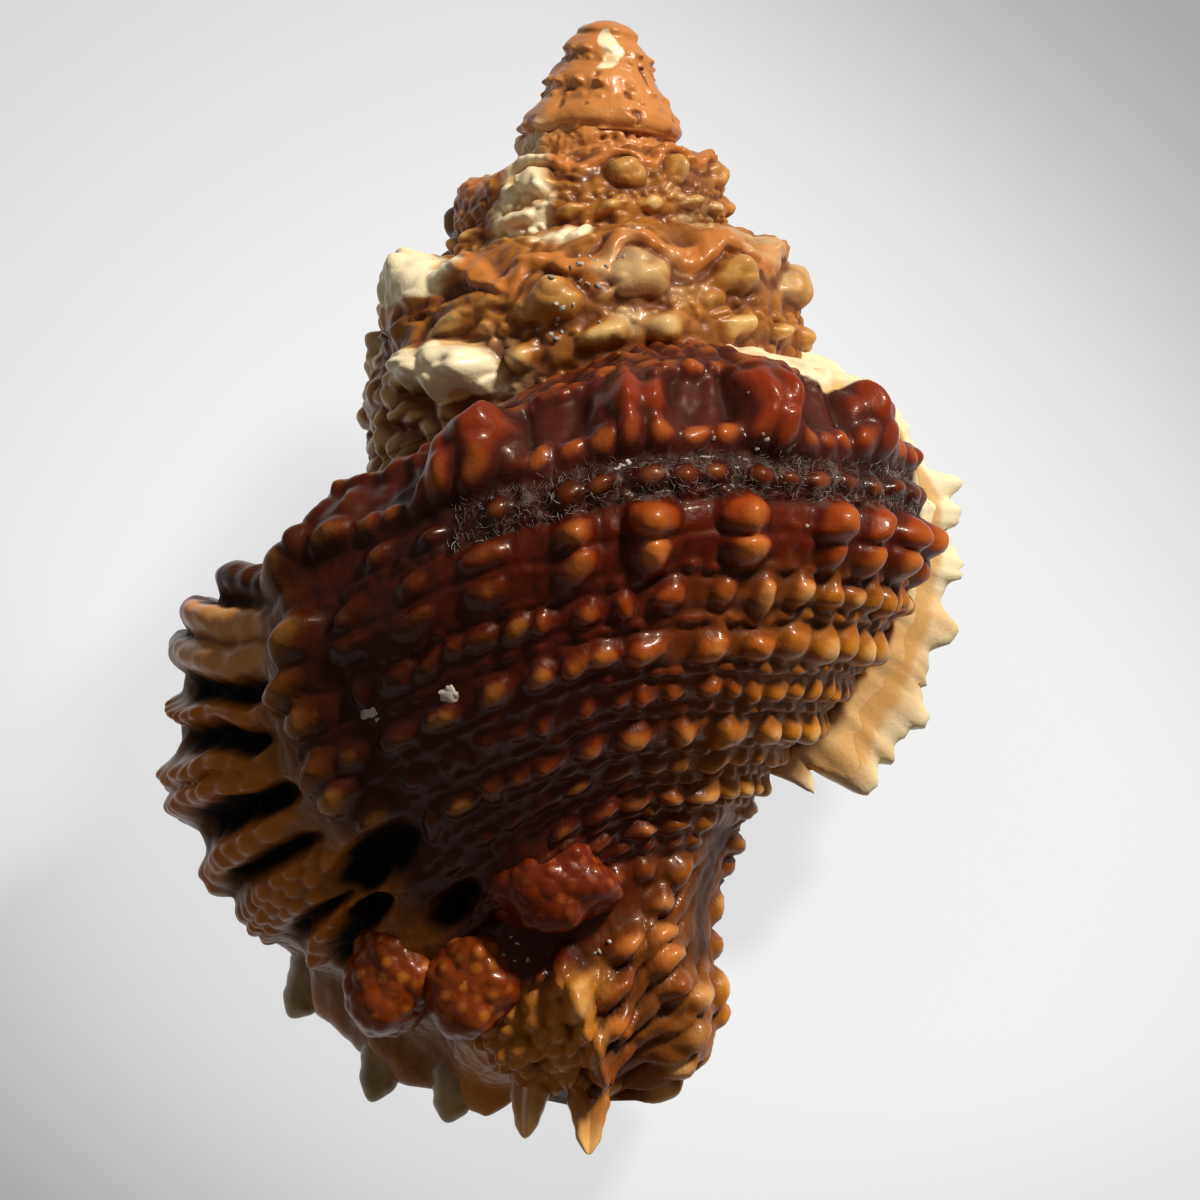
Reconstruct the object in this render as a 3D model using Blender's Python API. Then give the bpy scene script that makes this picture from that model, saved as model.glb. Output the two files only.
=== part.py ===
"""A granular frog shell lying on its aperture: back up, spire towards +Y, outer lip towards -X.
Metres, +Z up. The shell is one solid, grown round an axis: "turns" counts whorls back from the lip,
and "share" runs along the whorl's section, 0 at the suture and 1 at the tip of the canal."""

import math

import bpy
import numpy as np

MM = 0.001

# How the whorls grow.
GROWTH_PER_TURN = 1.5
TURNS = 5.25
OLD_LIP_TURN = 0.58
LIP_DROP = 7.4
LIP_DROP_TURNS = (0.08, 0.40)
CANAL_TAPER_TURNS = (0.60, 1.00)
CANAL_END_TURNS = (0.88, 1.12)

# Section of the whorl at the lip: radius, depth, and how far the point stays put as the whorl shrinks.
LIP_SECTION = (
    (13.4, 19.0, 0.00),
    (14.8, 21.2, 0.00),
    (16.8, 24.2, 0.00),
    (19.2, 26.4, 0.00),
    (19.9, 30.4, 0.00),
    (19.1, 34.6, 0.00),
    (17.2, 38.2, 0.03),
    (13.9, 40.8, 0.10),
    (10.9, 43.3, 0.28),
    (8.9, 46.9, 0.55),
    (7.3, 50.0, 0.82),
    (6.3, 52.9, 0.97),
    (4.8, 55.0, 1.00),
    (2.4, 55.9, 1.00),
)
# The same at the old lip, as large as it is there.
OLD_LIP_SECTION = (
    (10.6, 17.3, 0.00),
    (12.2, 18.3, 0.00),
    (13.8, 20.2, 0.00),
    (15.2, 23.0, 0.00),
    (15.6, 26.2, 0.00),
    (15.0, 29.8, 0.00),
    (13.5, 33.2, 0.00),
    (11.3, 36.0, 0.05),
    (9.0, 38.4, 0.20),
    (7.4, 41.2, 0.55),
    (6.6, 45.0, 0.85),
    (6.5, 49.0, 1.00),
    (5.3, 52.6, 1.00),
    (2.4, 55.4, 1.00),
)
# How wide the whorls are beside even growth.
WIDTH_TURNS = (-0.2, 0.0, 0.6, 1.1, 1.6, 2.1, 2.6, 3.1, 3.6, 4.2, 6.0)
WIDTH = (1.0, 1.0, 1.0, 0.87, 0.95, 0.86, 0.89, 0.76, 0.74, 0.68, 0.68)
APEX_DEPTH = 3.7
APEX_RADIUS = 1.8

# Sculpture, in millimetres on the last whorl. It shrinks with the whorls.
SHOULDER_SHARE = 0.135
SHOULDER_KNOBS = (0.175, 0.270, 0.352, 0.438, 0.550, 0.665, 0.815, 0.890, 0.965)
UNDER_KNOBS = (0.735,)
UNDER_KNOB_SHARE = 0.355
SPIRE_KNOBS = (0.055, 0.165, 0.283, 0.375, 0.455, 0.535, 0.640, 0.745, 0.850, 0.950)
SHOULDER_KNOB = (2.1, 2.7, 1.9)
UNDER_KNOB = (2.6, 2.5, 1.9)
LOWER_KNOB_SHARE = 0.312
LOWER_KNOBS = (0.190, 0.225, 0.254, 0.287, 0.325, 0.362, 0.404, 0.454, 0.521, 0.670, 0.800, 0.860, 0.920)
LOWER_KNOB = (1.0, 1.6, 1.2)
CORD_SHARES = (0.395, 0.456, 0.575, 0.680, 0.750, 0.820, 0.890, 0.945)
CORD_HEIGHT = 0.55
CORD_WIDTH = 0.85

# The thick varix behind the lip: rolls that cross it, and the knobs near the canal.
VARIX_TURNS = ((0.0, 0.105), (0.55, 0.105), (0.694, 0.160), (0.812, 0.212), (1.0, 0.215))
VARIX_WIDTH = 0.055
VARIX_HEIGHT = 0.5
ROLLS = (
    (0.150, 0.030, 0.6),
    (0.245, 0.030, 1.4),
    (0.300, 0.013, 0.9),
    (0.362, 0.026, 1.3),
    (0.452, 0.022, 1.0),
    (0.530, 0.022, 0.9),
    (0.602, 0.020, 1.1),
    (0.694, 0.034, 1.9),
    (0.812, 0.034, 1.7),
)
LIP_FLARE = 0.8
LIP_FLARE_TURNS = 0.035
RIB_TURN = 0.187
RIB_HEIGHT = 0.7

# The thin flange of the old lip, on the right, and the varices of the spire.
FLANGE_TURN = 0.612
FLANGE_HALF_WIDTH = 0.017
FLANGE_HEIGHT = 2.3
FLANGE_LOBES = (0.06, 0.17, 0.245, 0.315, 0.395, 0.456, 0.515, 0.575, 0.640)
FLANGE_LOBE = 0.9
SPIRE_VARICES = (1.13, 1.62, 2.12, 2.62, 3.14)
SPIRE_VARIX_HEIGHT = 1.5
SPIRE_VARIX_WIDTH = 0.030

# The hollow behind the aperture.
HOLLOW_TURNS = (-0.12, 0.80)
LIP_WALL = 2.1
INNER_WALL = 1.25
CALLUS = 0.7
CANAL_FLOOR = ((0.00, 60.0), (0.04, 60.0), (0.12, 51.0), (0.22, 45.0), (0.40, 40.0), (0.80, 31.0))
PILLAR = ((34.0, 3.6), (42.0, 3.3), (50.0, 2.7), (54.0, 2.2), (55.6, 1.7))
LIP_TEETH = (
    (0.000, 0.555, 0.0, 2.6),
    (0.000, 0.665, 0.2, 3.6),
    (0.050, 0.790, 0.5, 4.0),
    (0.240, 0.950, 1.6, 4.2),
    (0.350, 0.970, 2.4, 4.6),
)

# How the shell lies, in degrees: the side of its axis that points up, and how far the spire is raised.
UP_ANGLE = 117.6
SPIRE_RAISED = 14.15

VOXEL = 0.34
KEPT_TRIANGLES = 9400
COLOUR = (0.30, 0.155, 0.075, 1.0)
ROUGHNESS = 0.38


def ease(x, low, high):
    x = np.clip((x - low) / (high - low), 0.0, 1.0)
    return x * x * (3.0 - 2.0 * x)


def bump(x, width):
    return np.exp(-np.abs(x / width) ** 2.4)


def curve(knots, values, where):
    """A smooth curve through the values, read at "where"."""
    knots = np.asarray(knots, float)
    values = np.asarray(values, float)
    slopes = np.gradient(values, knots)
    i = np.clip(np.searchsorted(knots, where) - 1, 0, len(knots) - 2)
    span = knots[i + 1] - knots[i]
    s = np.clip((where - knots[i]) / span, 0.0, 1.0)
    return (
        values[i] * (1 + 2 * s) * (1 - s) ** 2
        + slopes[i] * span * s * (1 - s) ** 2
        + values[i + 1] * s * s * (3 - 2 * s)
        + slopes[i + 1] * span * s * s * (s - 1)
    )


def section_shares():
    points = np.array(LIP_SECTION)[:, :2]
    steps = np.hypot(*np.diff(points, axis=0).T)
    return np.r_[0.0, np.cumsum(steps)] / steps.sum()


SHARES = section_shares()
SECTION_LENGTH = 46.0


def size_at(turns):
    return GROWTH_PER_TURN ** -turns


def section(turns, share):
    """Radius and depth of the smooth whorl, before the sculpture."""
    turns, share = np.broadcast_arrays(np.asarray(turns, float), np.asarray(share, float))
    taper = 1.0 - 0.62 * ease(turns, *CANAL_TAPER_TURNS)
    fade = 1.0 - ease(turns, *CANAL_END_TURNS)
    radius = []
    depth = []
    for table, size in ((LIP_SECTION, size_at(turns)), (OLD_LIP_SECTION, size_at(turns - OLD_LIP_TURN))):
        r, d, stays = (curve(SHARES, column, share) for column in zip(*table))
        stays = np.clip(stays, 0.0, 1.0)
        held = stays * fade
        radius.append(r * (size * (1 - held) + held) * (1 - stays * (1 - taper)))
        depth.append(d * (size * (1 - held) + held))
    blend = ease(turns, 0.0, 0.5)
    wide = np.interp(turns, WIDTH_TURNS, WIDTH)
    radius = (radius[0] * (1 - blend) + radius[1] * blend) * wide
    drop = LIP_DROP * (1 - ease(turns, *LIP_DROP_TURNS)) * (1 - ease(share, 0.62, 0.95))
    depth = depth[0] * (1 - blend) + depth[1] * blend + drop
    return radius, depth


def radius_of_whorl_above(turns, depth):
    """Radius of the whorl one turn back, at these depths."""
    share = np.linspace(0.0, 0.97, 160)
    radius, level = section(float(turns) + 1.0, share)
    return np.interp(depth, level, radius, left=radius[0], right=0.0)


def knobs(turns, share, places, row, shape):
    """Round knobs in one spiral row, at these places in turns."""
    height, length, width = shape
    size = size_at(turns)
    around = 2 * math.pi * 19.0
    found = np.zeros_like(turns)
    for place in places:
        along = (turns - place) * around / length
        across = (share - row) * SECTION_LENGTH / width
        found = np.maximum(found, np.exp(-((along**2 + across**2) ** 1.25)))
    return height * size * found


def spire_places(places, turns):
    return [place + whole for whole in range(1, int(TURNS) + 1) for place in places if place + whole < TURNS]


def cords(turns, share):
    found = np.zeros_like(turns)
    for row in CORD_SHARES:
        found = np.maximum(found, bump((share - row) * SECTION_LENGTH, CORD_WIDTH))
    return CORD_HEIGHT * size_at(turns) * found * (turns < 1.2)


def lip_varix(turns, share):
    middle = np.interp(share, *zip(*VARIX_TURNS))
    width = VARIX_WIDTH * (1 - 0.35 * ease(share, 0.55, 0.72))
    body = np.exp(-np.abs((turns - middle) / width) ** 3)
    rolls = np.zeros_like(turns)
    for row, width, height in ROLLS:
        rolls = np.maximum(rolls, height * bump(share - row, width))
    rib = RIB_HEIGHT * bump(turns - RIB_TURN, 0.022) * ease(share, 0.08, 0.18) * (1 - ease(share, 0.62, 0.72))
    flare = LIP_FLARE * (1 - ease(turns, 0.0, LIP_FLARE_TURNS)) * ease(share, 0.03, 0.15)
    flare = flare * (1 - ease(share, 0.80, 0.95))
    return (VARIX_HEIGHT + rolls) * body * ease(share, 0.0, 0.08) + rib + flare


def old_flange(turns, share):
    width = FLANGE_HALF_WIDTH * (1.0 + 0.8 * (turns > FLANGE_TURN))
    body = np.exp(-np.abs((turns - FLANGE_TURN) / width) ** 2.6)
    lobes = np.zeros_like(turns)
    for row in FLANGE_LOBES:
        lobes = np.maximum(lobes, FLANGE_LOBE * bump(share - row, 0.022))
    end = 0.15 + 0.80 * ease(share, 0.12, 0.28) + 0.55 * ease(share, 0.42, 0.56)
    end = end * (1.0 - 0.90 * ease(share, 0.60, 0.66))
    return (FLANGE_HEIGHT + lobes) * end * body * ease(share, 0.0, 0.05) * (1 - ease(share, 0.84, 0.90))


def spire_varices(turns, share):
    found = np.zeros_like(turns)
    for place in SPIRE_VARICES:
        body = bump(turns - place, SPIRE_VARIX_WIDTH)
        found = np.maximum(found, body * size_at(place - 0.6))
    waves = 0.65 + 0.35 * np.cos(2 * math.pi * (share - 0.13) / 0.20)
    return SPIRE_VARIX_HEIGHT * found * waves * ease(share, 0.0, 0.05)


def relief(turns, share):
    """Height of the sculpture over the smooth whorl."""
    spire_shoulder = spire_places(SPIRE_KNOBS, turns)
    spire_lower = spire_places((0.05, 0.13, 0.21, 0.29, 0.37, 0.45, 0.53, 0.61, 0.69, 0.77, 0.85, 0.93), turns)
    height = knobs(turns, share, SHOULDER_KNOBS, SHOULDER_SHARE, SHOULDER_KNOB)
    height = np.maximum(height, knobs(turns, share, UNDER_KNOBS, UNDER_KNOB_SHARE, UNDER_KNOB))
    height = np.maximum(height, knobs(turns, share, spire_shoulder, SHOULDER_SHARE - 0.01, SHOULDER_KNOB))
    height = np.maximum(height, knobs(turns, share, LOWER_KNOBS, LOWER_KNOB_SHARE, LOWER_KNOB))
    height = np.maximum(height, knobs(turns, share, spire_lower, 0.275, LOWER_KNOB))
    height = np.maximum(height, cords(turns, share))
    height = height + lip_varix(turns, share)
    height = height + old_flange(turns, share)
    return height + spire_varices(turns, share)


def outer_wall(turns, share):
    """Points of the outside, with sculpture: an array of radius, and one of depth."""
    radius, depth = section(turns, share)
    r_before, d_before = section(turns, share - 0.004)
    r_after, d_after = section(turns, share + 0.004)
    out = np.array((d_after - d_before, r_before - r_after))
    out = out / np.maximum(np.hypot(*out), 1e-9)
    top = radius_of_whorl_above(turns, depth[0])
    radius = radius + (top - radius[0]) * np.clip(1 - share / 0.12, 0.0, 1.0) ** 2
    height = relief(np.full_like(share, turns), share)
    return radius + out[0] * height, depth + out[1] * height


def place(radius, depth, turns):
    angle = 2 * math.pi * turns
    return np.column_stack((radius * np.cos(angle), radius * np.sin(angle), -depth))


def swept_solid(name, loops):
    """A closed solid through loops of equal length, with a flat face at each end."""
    count = len(loops[0])
    faces = []
    for i in range(len(loops) - 1):
        a = i * count
        b = a + count
        faces += [(a + j, a + (j + 1) % count, b + (j + 1) % count, b + j) for j in range(count)]
    faces.append(tuple(range(count - 1, -1, -1)))
    faces.append(tuple(range((len(loops) - 1) * count, len(loops) * count)))
    mesh = bpy.data.meshes.new(name)
    mesh.from_pydata(np.concatenate(loops).tolist(), [], faces)
    return mesh


def whorls():
    """The whorls as one solid tube whose inner side runs along the axis."""
    share = np.linspace(0.0, 1.0, 150)
    loops = []
    for turns in np.arange(0.0, TURNS, 1 / 150):
        radius, depth = outer_wall(turns, share)
        back = np.linspace(0.0, 1.0, 14)
        inner = np.full_like(back, -0.35 * size_at(turns))
        radius = np.r_[radius, inner]
        depth = np.r_[depth, depth[-1] + (depth[0] - depth[-1]) * back]
        loops.append(place(radius, depth, turns))
    return swept_solid("whorls", loops)


def ball(name, radius, centre):
    bpy.ops.mesh.primitive_uv_sphere_add(segments=40, ring_count=24, radius=radius, location=centre)
    made = bpy.context.object
    made.name = name
    return made


def pillar():
    """The pillar that the canal runs down."""
    ring = np.linspace(0.0, 2 * math.pi, 36, endpoint=False)
    loops = []
    for depth, radius in PILLAR:
        x = radius * np.cos(ring) - 0.4
        y = radius * np.sin(ring) - 0.2
        loops.append(np.column_stack((x, y, np.full_like(x, -depth))))
    return swept_solid("pillar", loops)


def tooth(turns, share, lean, length):
    """A blunt tooth on the edge of the lip or of the canal, pointing outwards."""
    radius, depth = section(turns, np.array([share - 0.01, share, share + 0.01]))
    out = np.array((depth[2] - depth[0], radius[0] - radius[2]))
    out = out / np.hypot(*out) + np.array((0.0, lean))
    out = out / np.hypot(*out)
    along = np.array((-out[1], out[0]))
    angle = 2 * math.pi * turns
    radial = np.array((math.cos(angle), math.sin(angle), 0.0))
    around = np.array((-math.sin(angle), math.cos(angle), 0.0))
    down = np.array((0.0, 0.0, -1.0))
    ring = np.linspace(0.0, 2 * math.pi, 16, endpoint=False)
    loops = []
    for step, width in ((0.0, 1.7), (0.45, 1.5), (0.75, 1.05), (0.92, 0.65), (1.0, 0.3)):
        reach = -1.3 + (1.3 + length) * step
        r = radius[1] + out[0] * reach + along[0] * width * np.cos(ring)
        d = depth[1] + out[1] * reach + along[1] * width * np.cos(ring)
        side = 0.8 * width * np.sin(ring)
        loops.append(r[:, None] * radial + d[:, None] * down + side[:, None] * around)
    return swept_solid("tooth", loops)


def wall_at(turns):
    return INNER_WALL + (LIP_WALL - INNER_WALL) * (1 - ease(turns, 0.03, 0.22))


def hollow():
    """The room inside, cut from the whorls: from in front of the lip to most of a turn back."""
    levels = np.linspace(0.0, 1.0, 46)
    loops = []
    for turns in np.arange(HOLLOW_TURNS[0], HOLLOW_TURNS[1], 1 / 120):
        share = np.linspace(0.0, 1.0, 300)
        radius, depth = section(max(turns, 0.0), share)
        grow = size_at(min(turns, 0.0))
        radius = radius * grow
        wall = wall_at(turns)
        bottom = np.interp(turns, *zip(*CANAL_FLOOR))
        down = np.linspace(depth[0] - 2.0, bottom, 260)
        reach = np.linspace(-wall, wall, 41)
        near = down[:, None] + reach[None, :]
        outer = np.interp(near, depth, radius, left=0.0, right=radius[-1])
        outer = (outer - np.sqrt(np.maximum(wall**2 - reach**2, 0.0))).min(axis=1)
        inner = radius_of_whorl_above(turns, down) + CALLUS
        pillar_depth, pillar_radius = zip(*PILLAR)
        inner = np.maximum(inner, np.interp(down, pillar_depth, pillar_radius) + 0.15)
        open_at = np.flatnonzero(outer - inner > 0.35)
        first, last = open_at[0], open_at[-1]
        fill = down[first] + (down[last] - down[first]) * levels
        left = np.interp(fill, down, inner)
        right = np.interp(fill, down, outer)
        right = np.maximum(right, left + 0.35)
        r = np.r_[right, left[::-1]]
        d = np.r_[fill, fill[::-1]]
        loops.append(place(r, d, turns))
    return swept_solid("hollow", loops)


def link(name, mesh):
    made = bpy.data.objects.new(name, mesh)
    bpy.context.scene.collection.objects.link(made)
    return made


def outwards(made):
    """Turns the faces so that they point out."""
    for other in bpy.context.selected_objects:
        other.select_set(False)
    made.select_set(True)
    bpy.context.view_layer.objects.active = made
    bpy.ops.object.mode_set(mode="EDIT")
    bpy.ops.mesh.select_all(action="SELECT")
    bpy.ops.mesh.normals_make_consistent(inside=False)
    bpy.ops.object.mode_set(mode="OBJECT")


def apply(made, kind, **settings):
    for other in bpy.context.selected_objects:
        other.select_set(False)
    made.select_set(True)
    bpy.context.view_layer.objects.active = made
    modifier = made.modifiers.new(kind.title(), kind)
    for name, value in settings.items():
        setattr(modifier, name, value)
    bpy.ops.object.modifier_apply(modifier=modifier.name)


def shell_material():
    material = bpy.data.materials.new("glossy brown shell")
    material.use_nodes = True
    shader = material.node_tree.nodes["Principled BSDF"]
    shader.inputs["Base Color"].default_value = COLOUR
    shader.inputs["Roughness"].default_value = ROUGHNESS
    shader.inputs["Metallic"].default_value = 0.0
    return material


def lay_down(made):
    """Turns the shell from its own axis to how it lies, and sets it on the ground."""
    count = len(made.data.vertices)
    points = np.empty(count * 3)
    made.data.vertices.foreach_get("co", points)
    points = points.reshape(-1, 3)
    up = math.radians(UP_ANGLE)
    raised = math.radians(SPIRE_RAISED)
    back_up = np.array(((-math.sin(up), math.cos(up), 0), (0, 0, 1), (math.cos(up), math.sin(up), 0)))
    raise_spire = np.array(
        ((1, 0, 0), (0, math.cos(raised), -math.sin(raised)), (0, math.sin(raised), math.cos(raised)))
    )
    points = points @ back_up.T @ raise_spire.T
    low = points.min(axis=0)
    high = points.max(axis=0)
    points = (points - ((low + high) / 2 * (1, 1, 0) + low * (0, 0, 1))) * MM
    made.data.vertices.foreach_set("co", points.ravel())
    made.data.update()


def build():
    for old in list(bpy.data.objects):
        bpy.data.objects.remove(old, do_unlink=True)
    shell = link("shell", whorls())
    parts = [link("pillar", pillar()), ball("apex", APEX_RADIUS, (0.0, 0.0, -APEX_DEPTH))]
    parts += [link("tooth", tooth(*numbers)) for numbers in LIP_TEETH]
    for made in [shell] + parts:
        outwards(made)
    for made in [shell] + parts:
        made.select_set(True)
    bpy.context.view_layer.objects.active = shell
    bpy.ops.object.join()
    apply(shell, "REMESH", mode="VOXEL", voxel_size=VOXEL)
    cutter = link("hollow", hollow())
    outwards(cutter)
    apply(shell, "BOOLEAN", operation="DIFFERENCE", solver="EXACT", object=cutter)
    bpy.data.objects.remove(cutter, do_unlink=True)
    apply(shell, "REMESH", mode="VOXEL", voxel_size=VOXEL)
    apply(shell, "SMOOTH", factor=0.5, iterations=2)
    apply(shell, "TRIANGULATE")
    ratio = KEPT_TRIANGLES / len(shell.data.polygons)
    apply(shell, "DECIMATE", ratio=ratio)
    lay_down(shell)
    shell.data.materials.clear()
    shell.data.materials.append(shell_material())


build()
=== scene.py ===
import math
from functools import partialmethod

import bpy
import numpy as np
from mathutils import Matrix, Vector, kdtree


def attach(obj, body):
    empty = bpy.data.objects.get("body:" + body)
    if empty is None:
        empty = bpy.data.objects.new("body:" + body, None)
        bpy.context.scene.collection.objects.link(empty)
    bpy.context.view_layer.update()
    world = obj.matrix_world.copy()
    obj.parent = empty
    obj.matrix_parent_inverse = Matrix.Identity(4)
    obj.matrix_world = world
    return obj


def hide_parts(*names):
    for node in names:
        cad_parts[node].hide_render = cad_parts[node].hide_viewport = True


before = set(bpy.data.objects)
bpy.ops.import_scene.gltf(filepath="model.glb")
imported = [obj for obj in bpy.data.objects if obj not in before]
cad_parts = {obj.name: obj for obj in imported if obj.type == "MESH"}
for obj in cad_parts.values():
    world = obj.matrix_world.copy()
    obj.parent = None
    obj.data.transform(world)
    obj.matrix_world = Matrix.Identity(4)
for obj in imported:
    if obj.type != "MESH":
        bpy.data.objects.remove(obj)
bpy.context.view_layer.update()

mm = 0.001
tau = 2 * math.pi
# once round the last whorl, and once across its section, in millimetres
girth = 119.0
sectionLength = 46.0
# the share at which the fine hairs grow
hairyShare = 0.262

# How the whorls grow. Turns count back from the lip, share runs from the suture to the tip of the canal. Where
# both are grids of the same size they are called t and s.
growth = {
    "perTurn": 1.5, "oldLipTurn": 0.58, "lipDrop": 7.4, "lipDropTurns": (0.08, 0.4),
    "canalTaper": 0.62, "canalTaperTurns": (0.6, 1.0), "canalEndTurns": (0.88, 1.12),
    "widths": ((0.6, 1.0), (1.1, 0.87), (1.6, 0.95), (2.1, 0.86), (2.6, 0.89), (3.1, 0.76), (3.6, 0.74), (4.2, 0.68)),
    # radius, depth, and how far the point stays put as the whorl shrinks
    "lipSection": (
        (13.4, 19.0, 0), (14.8, 21.2, 0), (16.8, 24.2, 0), (19.2, 26.4, 0), (19.9, 30.4, 0), (19.1, 34.6, 0),
        (17.2, 38.2, 0.03), (13.9, 40.8, 0.1), (10.9, 43.3, 0.28), (8.9, 46.9, 0.55), (7.3, 50.0, 0.82),
        (6.3, 52.9, 0.97), (4.8, 55.0, 1), (2.4, 55.9, 1)),
    "oldLipSection": (
        (10.6, 17.3, 0), (12.2, 18.3, 0), (13.8, 20.2, 0), (15.2, 23.0, 0), (15.6, 26.2, 0), (15.0, 29.8, 0),
        (13.5, 33.2, 0), (11.3, 36.0, 0.05), (9.0, 38.4, 0.2), (7.4, 41.2, 0.55), (6.6, 45.0, 0.85),
        (6.5, 49.0, 1), (5.3, 52.6, 1), (2.4, 55.4, 1)),
}

# How the shell lies in the shared frame.
lying = {"upAngle": 117.6, "spireRaised": 14.15, "middle": (-1.4929, -29.9326), "lowest": -19.6186}


def unit(x):
    return np.clip(x, 0.0, 1.0)


def ease(x, low, high):
    x = unit((x - low) / (high - low))
    return x * x * (3 - 2 * x)


def fall(x, low, high):
    return 1 - ease(x, low, high)


def between(x, low, high, leaves, gone):
    return ease(x, low, high) * fall(x, leaves, gone)


def bump(x, width):
    return np.exp(-np.abs(x / width) ** 2.4)


def highest(first, *others):
    for other in others:
        first = np.maximum(first, other)
    return first


def curve(knots, values, where):
    knots = np.asarray(knots, float)
    values = np.asarray(values, float)
    slopes = np.gradient(values, knots)
    i = np.clip(np.searchsorted(knots, where) - 1, 0, len(knots) - 2)
    span = knots[i + 1] - knots[i]
    s = unit((where - knots[i]) / span)
    ends = values[i] * (1 + 2 * s) * (1 - s) ** 2 + values[i + 1] * s * s * (3 - 2 * s)
    return ends + slopes[i] * span * s * (1 - s) ** 2 + slopes[i + 1] * span * s * s * (s - 1)


def knotShares():
    steps = np.hypot(*np.diff(np.array(growth["lipSection"])[:, :2], axis=0).T)
    return np.r_[0.0, np.cumsum(steps)] / steps.sum()


sectionKnots = knotShares()


def sizeAt(turns):
    return growth["perTurn"] ** -turns


def section(turns, share):
    # radius and depth of the smooth whorl
    turns, share = np.broadcast_arrays(np.asarray(turns, float), np.asarray(share, float))
    taper = growth["canalTaper"] * ease(turns, *growth["canalTaperTurns"])
    fade = fall(turns, *growth["canalEndTurns"])
    found = []
    for name, size in (("lipSection", sizeAt(turns)), ("oldLipSection", sizeAt(turns - growth["oldLipTurn"]))):
        radius, depth, stays = (curve(sectionKnots, column, share) for column in zip(*growth[name]))
        held = unit(stays) * fade
        grown = size * (1 - held) + held
        found.append((radius * grown * (1 - unit(stays) * taper), depth * grown))
    blend = ease(turns, 0.0, 0.5)
    radius, depth = (new * (1 - blend) + old * blend for new, old in zip(*found))
    drop = growth["lipDrop"] * fall(turns, *growth["lipDropTurns"]) * fall(share, 0.62, 0.95)
    return radius * np.interp(turns, *zip(*growth["widths"])), depth + drop


def radiusOfWhorlAbove(turns, depth):
    radius, level = section(float(turns) + 1.0, np.linspace(0.0, 0.97, 160))
    return np.interp(depth, level, radius, left=radius[0], right=0.0)


def wound(radius, angle, height, aside=0.0):
    # places about the shell's own axis
    x = radius * np.cos(angle) - aside * np.sin(angle)
    y = radius * np.sin(angle) + aside * np.cos(angle)
    return np.stack(np.broadcast_arrays(x, y, height), axis=-1)


def layDown(points):
    # from the shell's own axis to how it lies, in metres
    up = math.radians(lying["upAngle"])
    raised = math.radians(lying["spireRaised"])
    backUp = np.array(((-math.sin(up), math.cos(up), 0), (0, 0, 1), (math.cos(up), math.sin(up), 0)))
    raiseSpire = np.array(
        ((1, 0, 0), (0, math.cos(raised), -math.sin(raised)), (0, math.sin(raised), math.cos(raised))))
    return (points @ backUp.T @ raiseSpire.T - (*lying["middle"], lying["lowest"])) * mm


print("camera and light")

look = {
    "towardsCamera": (0.041, -0.403, 0.914), "imageUp": (-0.019, 0.915, 0.404),
    "frameWidth": 0.05836, "apexAboveMiddle": 0.0299, "apexRightOfMiddle": 0.00034,
    "lens": 600.0, "sensor": 36.0,
    # where each light comes from: right, up and towards the camera; its strength, angle and colour
    "suns": {
        "keyLight": ((0.58, 0.8, 0.48), 4.1, 10.0, (1.0, 0.97, 0.92)),
        "fillLight": ((-0.8, 0.2, 0.7), 0.1, 60.0, (0.95, 0.97, 1.0)),
    },
    "worldColour": (1.0, 0.97, 0.93, 1.0), "worldStrength": 0.13,
    # the floor's dark colour is a painted falloff of light towards its edges
    "floorPale": (242, 242, 243), "floorDark": (170, 170, 172), "floorGlow": 0.82, "floorBounce": (96, 84, 70),
}

viewBack = Vector(look["towardsCamera"]).normalized()
viewUp = Vector(look["imageUp"])
viewUp = (viewUp - viewUp.dot(viewBack) * viewBack).normalized()
viewRight = viewUp.cross(viewBack)
axisTop = Vector(layDown(np.zeros((1, 3)))[0].tolist())
frameMiddle = axisTop - viewRight * look["apexRightOfMiddle"] - viewUp * look["apexAboveMiddle"]


def turnedTo(obj, back, up):
    right = up.cross(back)
    obj.rotation_euler = Matrix((right, up, back)).transposed().to_euler()


def addCamera():
    bpy.ops.object.camera_add()
    camera = bpy.context.object
    camera.name = "camera"
    camera.data.lens = look["lens"]
    camera.data.sensor_width = look["sensor"]
    camera.location = frameMiddle + viewBack * look["frameWidth"] * look["lens"] / look["sensor"]
    turnedTo(camera, viewBack, viewUp)
    camera.data.clip_start = 0.01
    camera.data.clip_end = 10.0
    bpy.context.scene.camera = camera


def addSun(name, comesFrom, strength, angle, colour):
    bpy.ops.object.light_add(type="SUN")
    sun = bpy.context.object
    sun.name = name
    direction = (Matrix((viewRight, viewUp, viewBack)).transposed() @ Vector(comesFrom)).normalized()
    turnedTo(sun, direction, direction.orthogonal().normalized())
    sun.location = frameMiddle + direction * 0.3
    sun.data.energy = strength
    sun.data.angle = math.radians(angle)
    sun.data.color = colour


addCamera()
for name, sun in look["suns"].items():
    addSun(name, *sun)

world = bpy.data.worlds.new("paleRoom")
bpy.context.scene.world = world
world.use_nodes = True
world.node_tree.nodes["Background"].inputs["Color"].default_value = look["worldColour"]
world.node_tree.nodes["Background"].inputs["Strength"].default_value = look["worldStrength"]
bpy.context.scene.view_settings.view_transform = "Standard"

print("sculpture")

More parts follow.
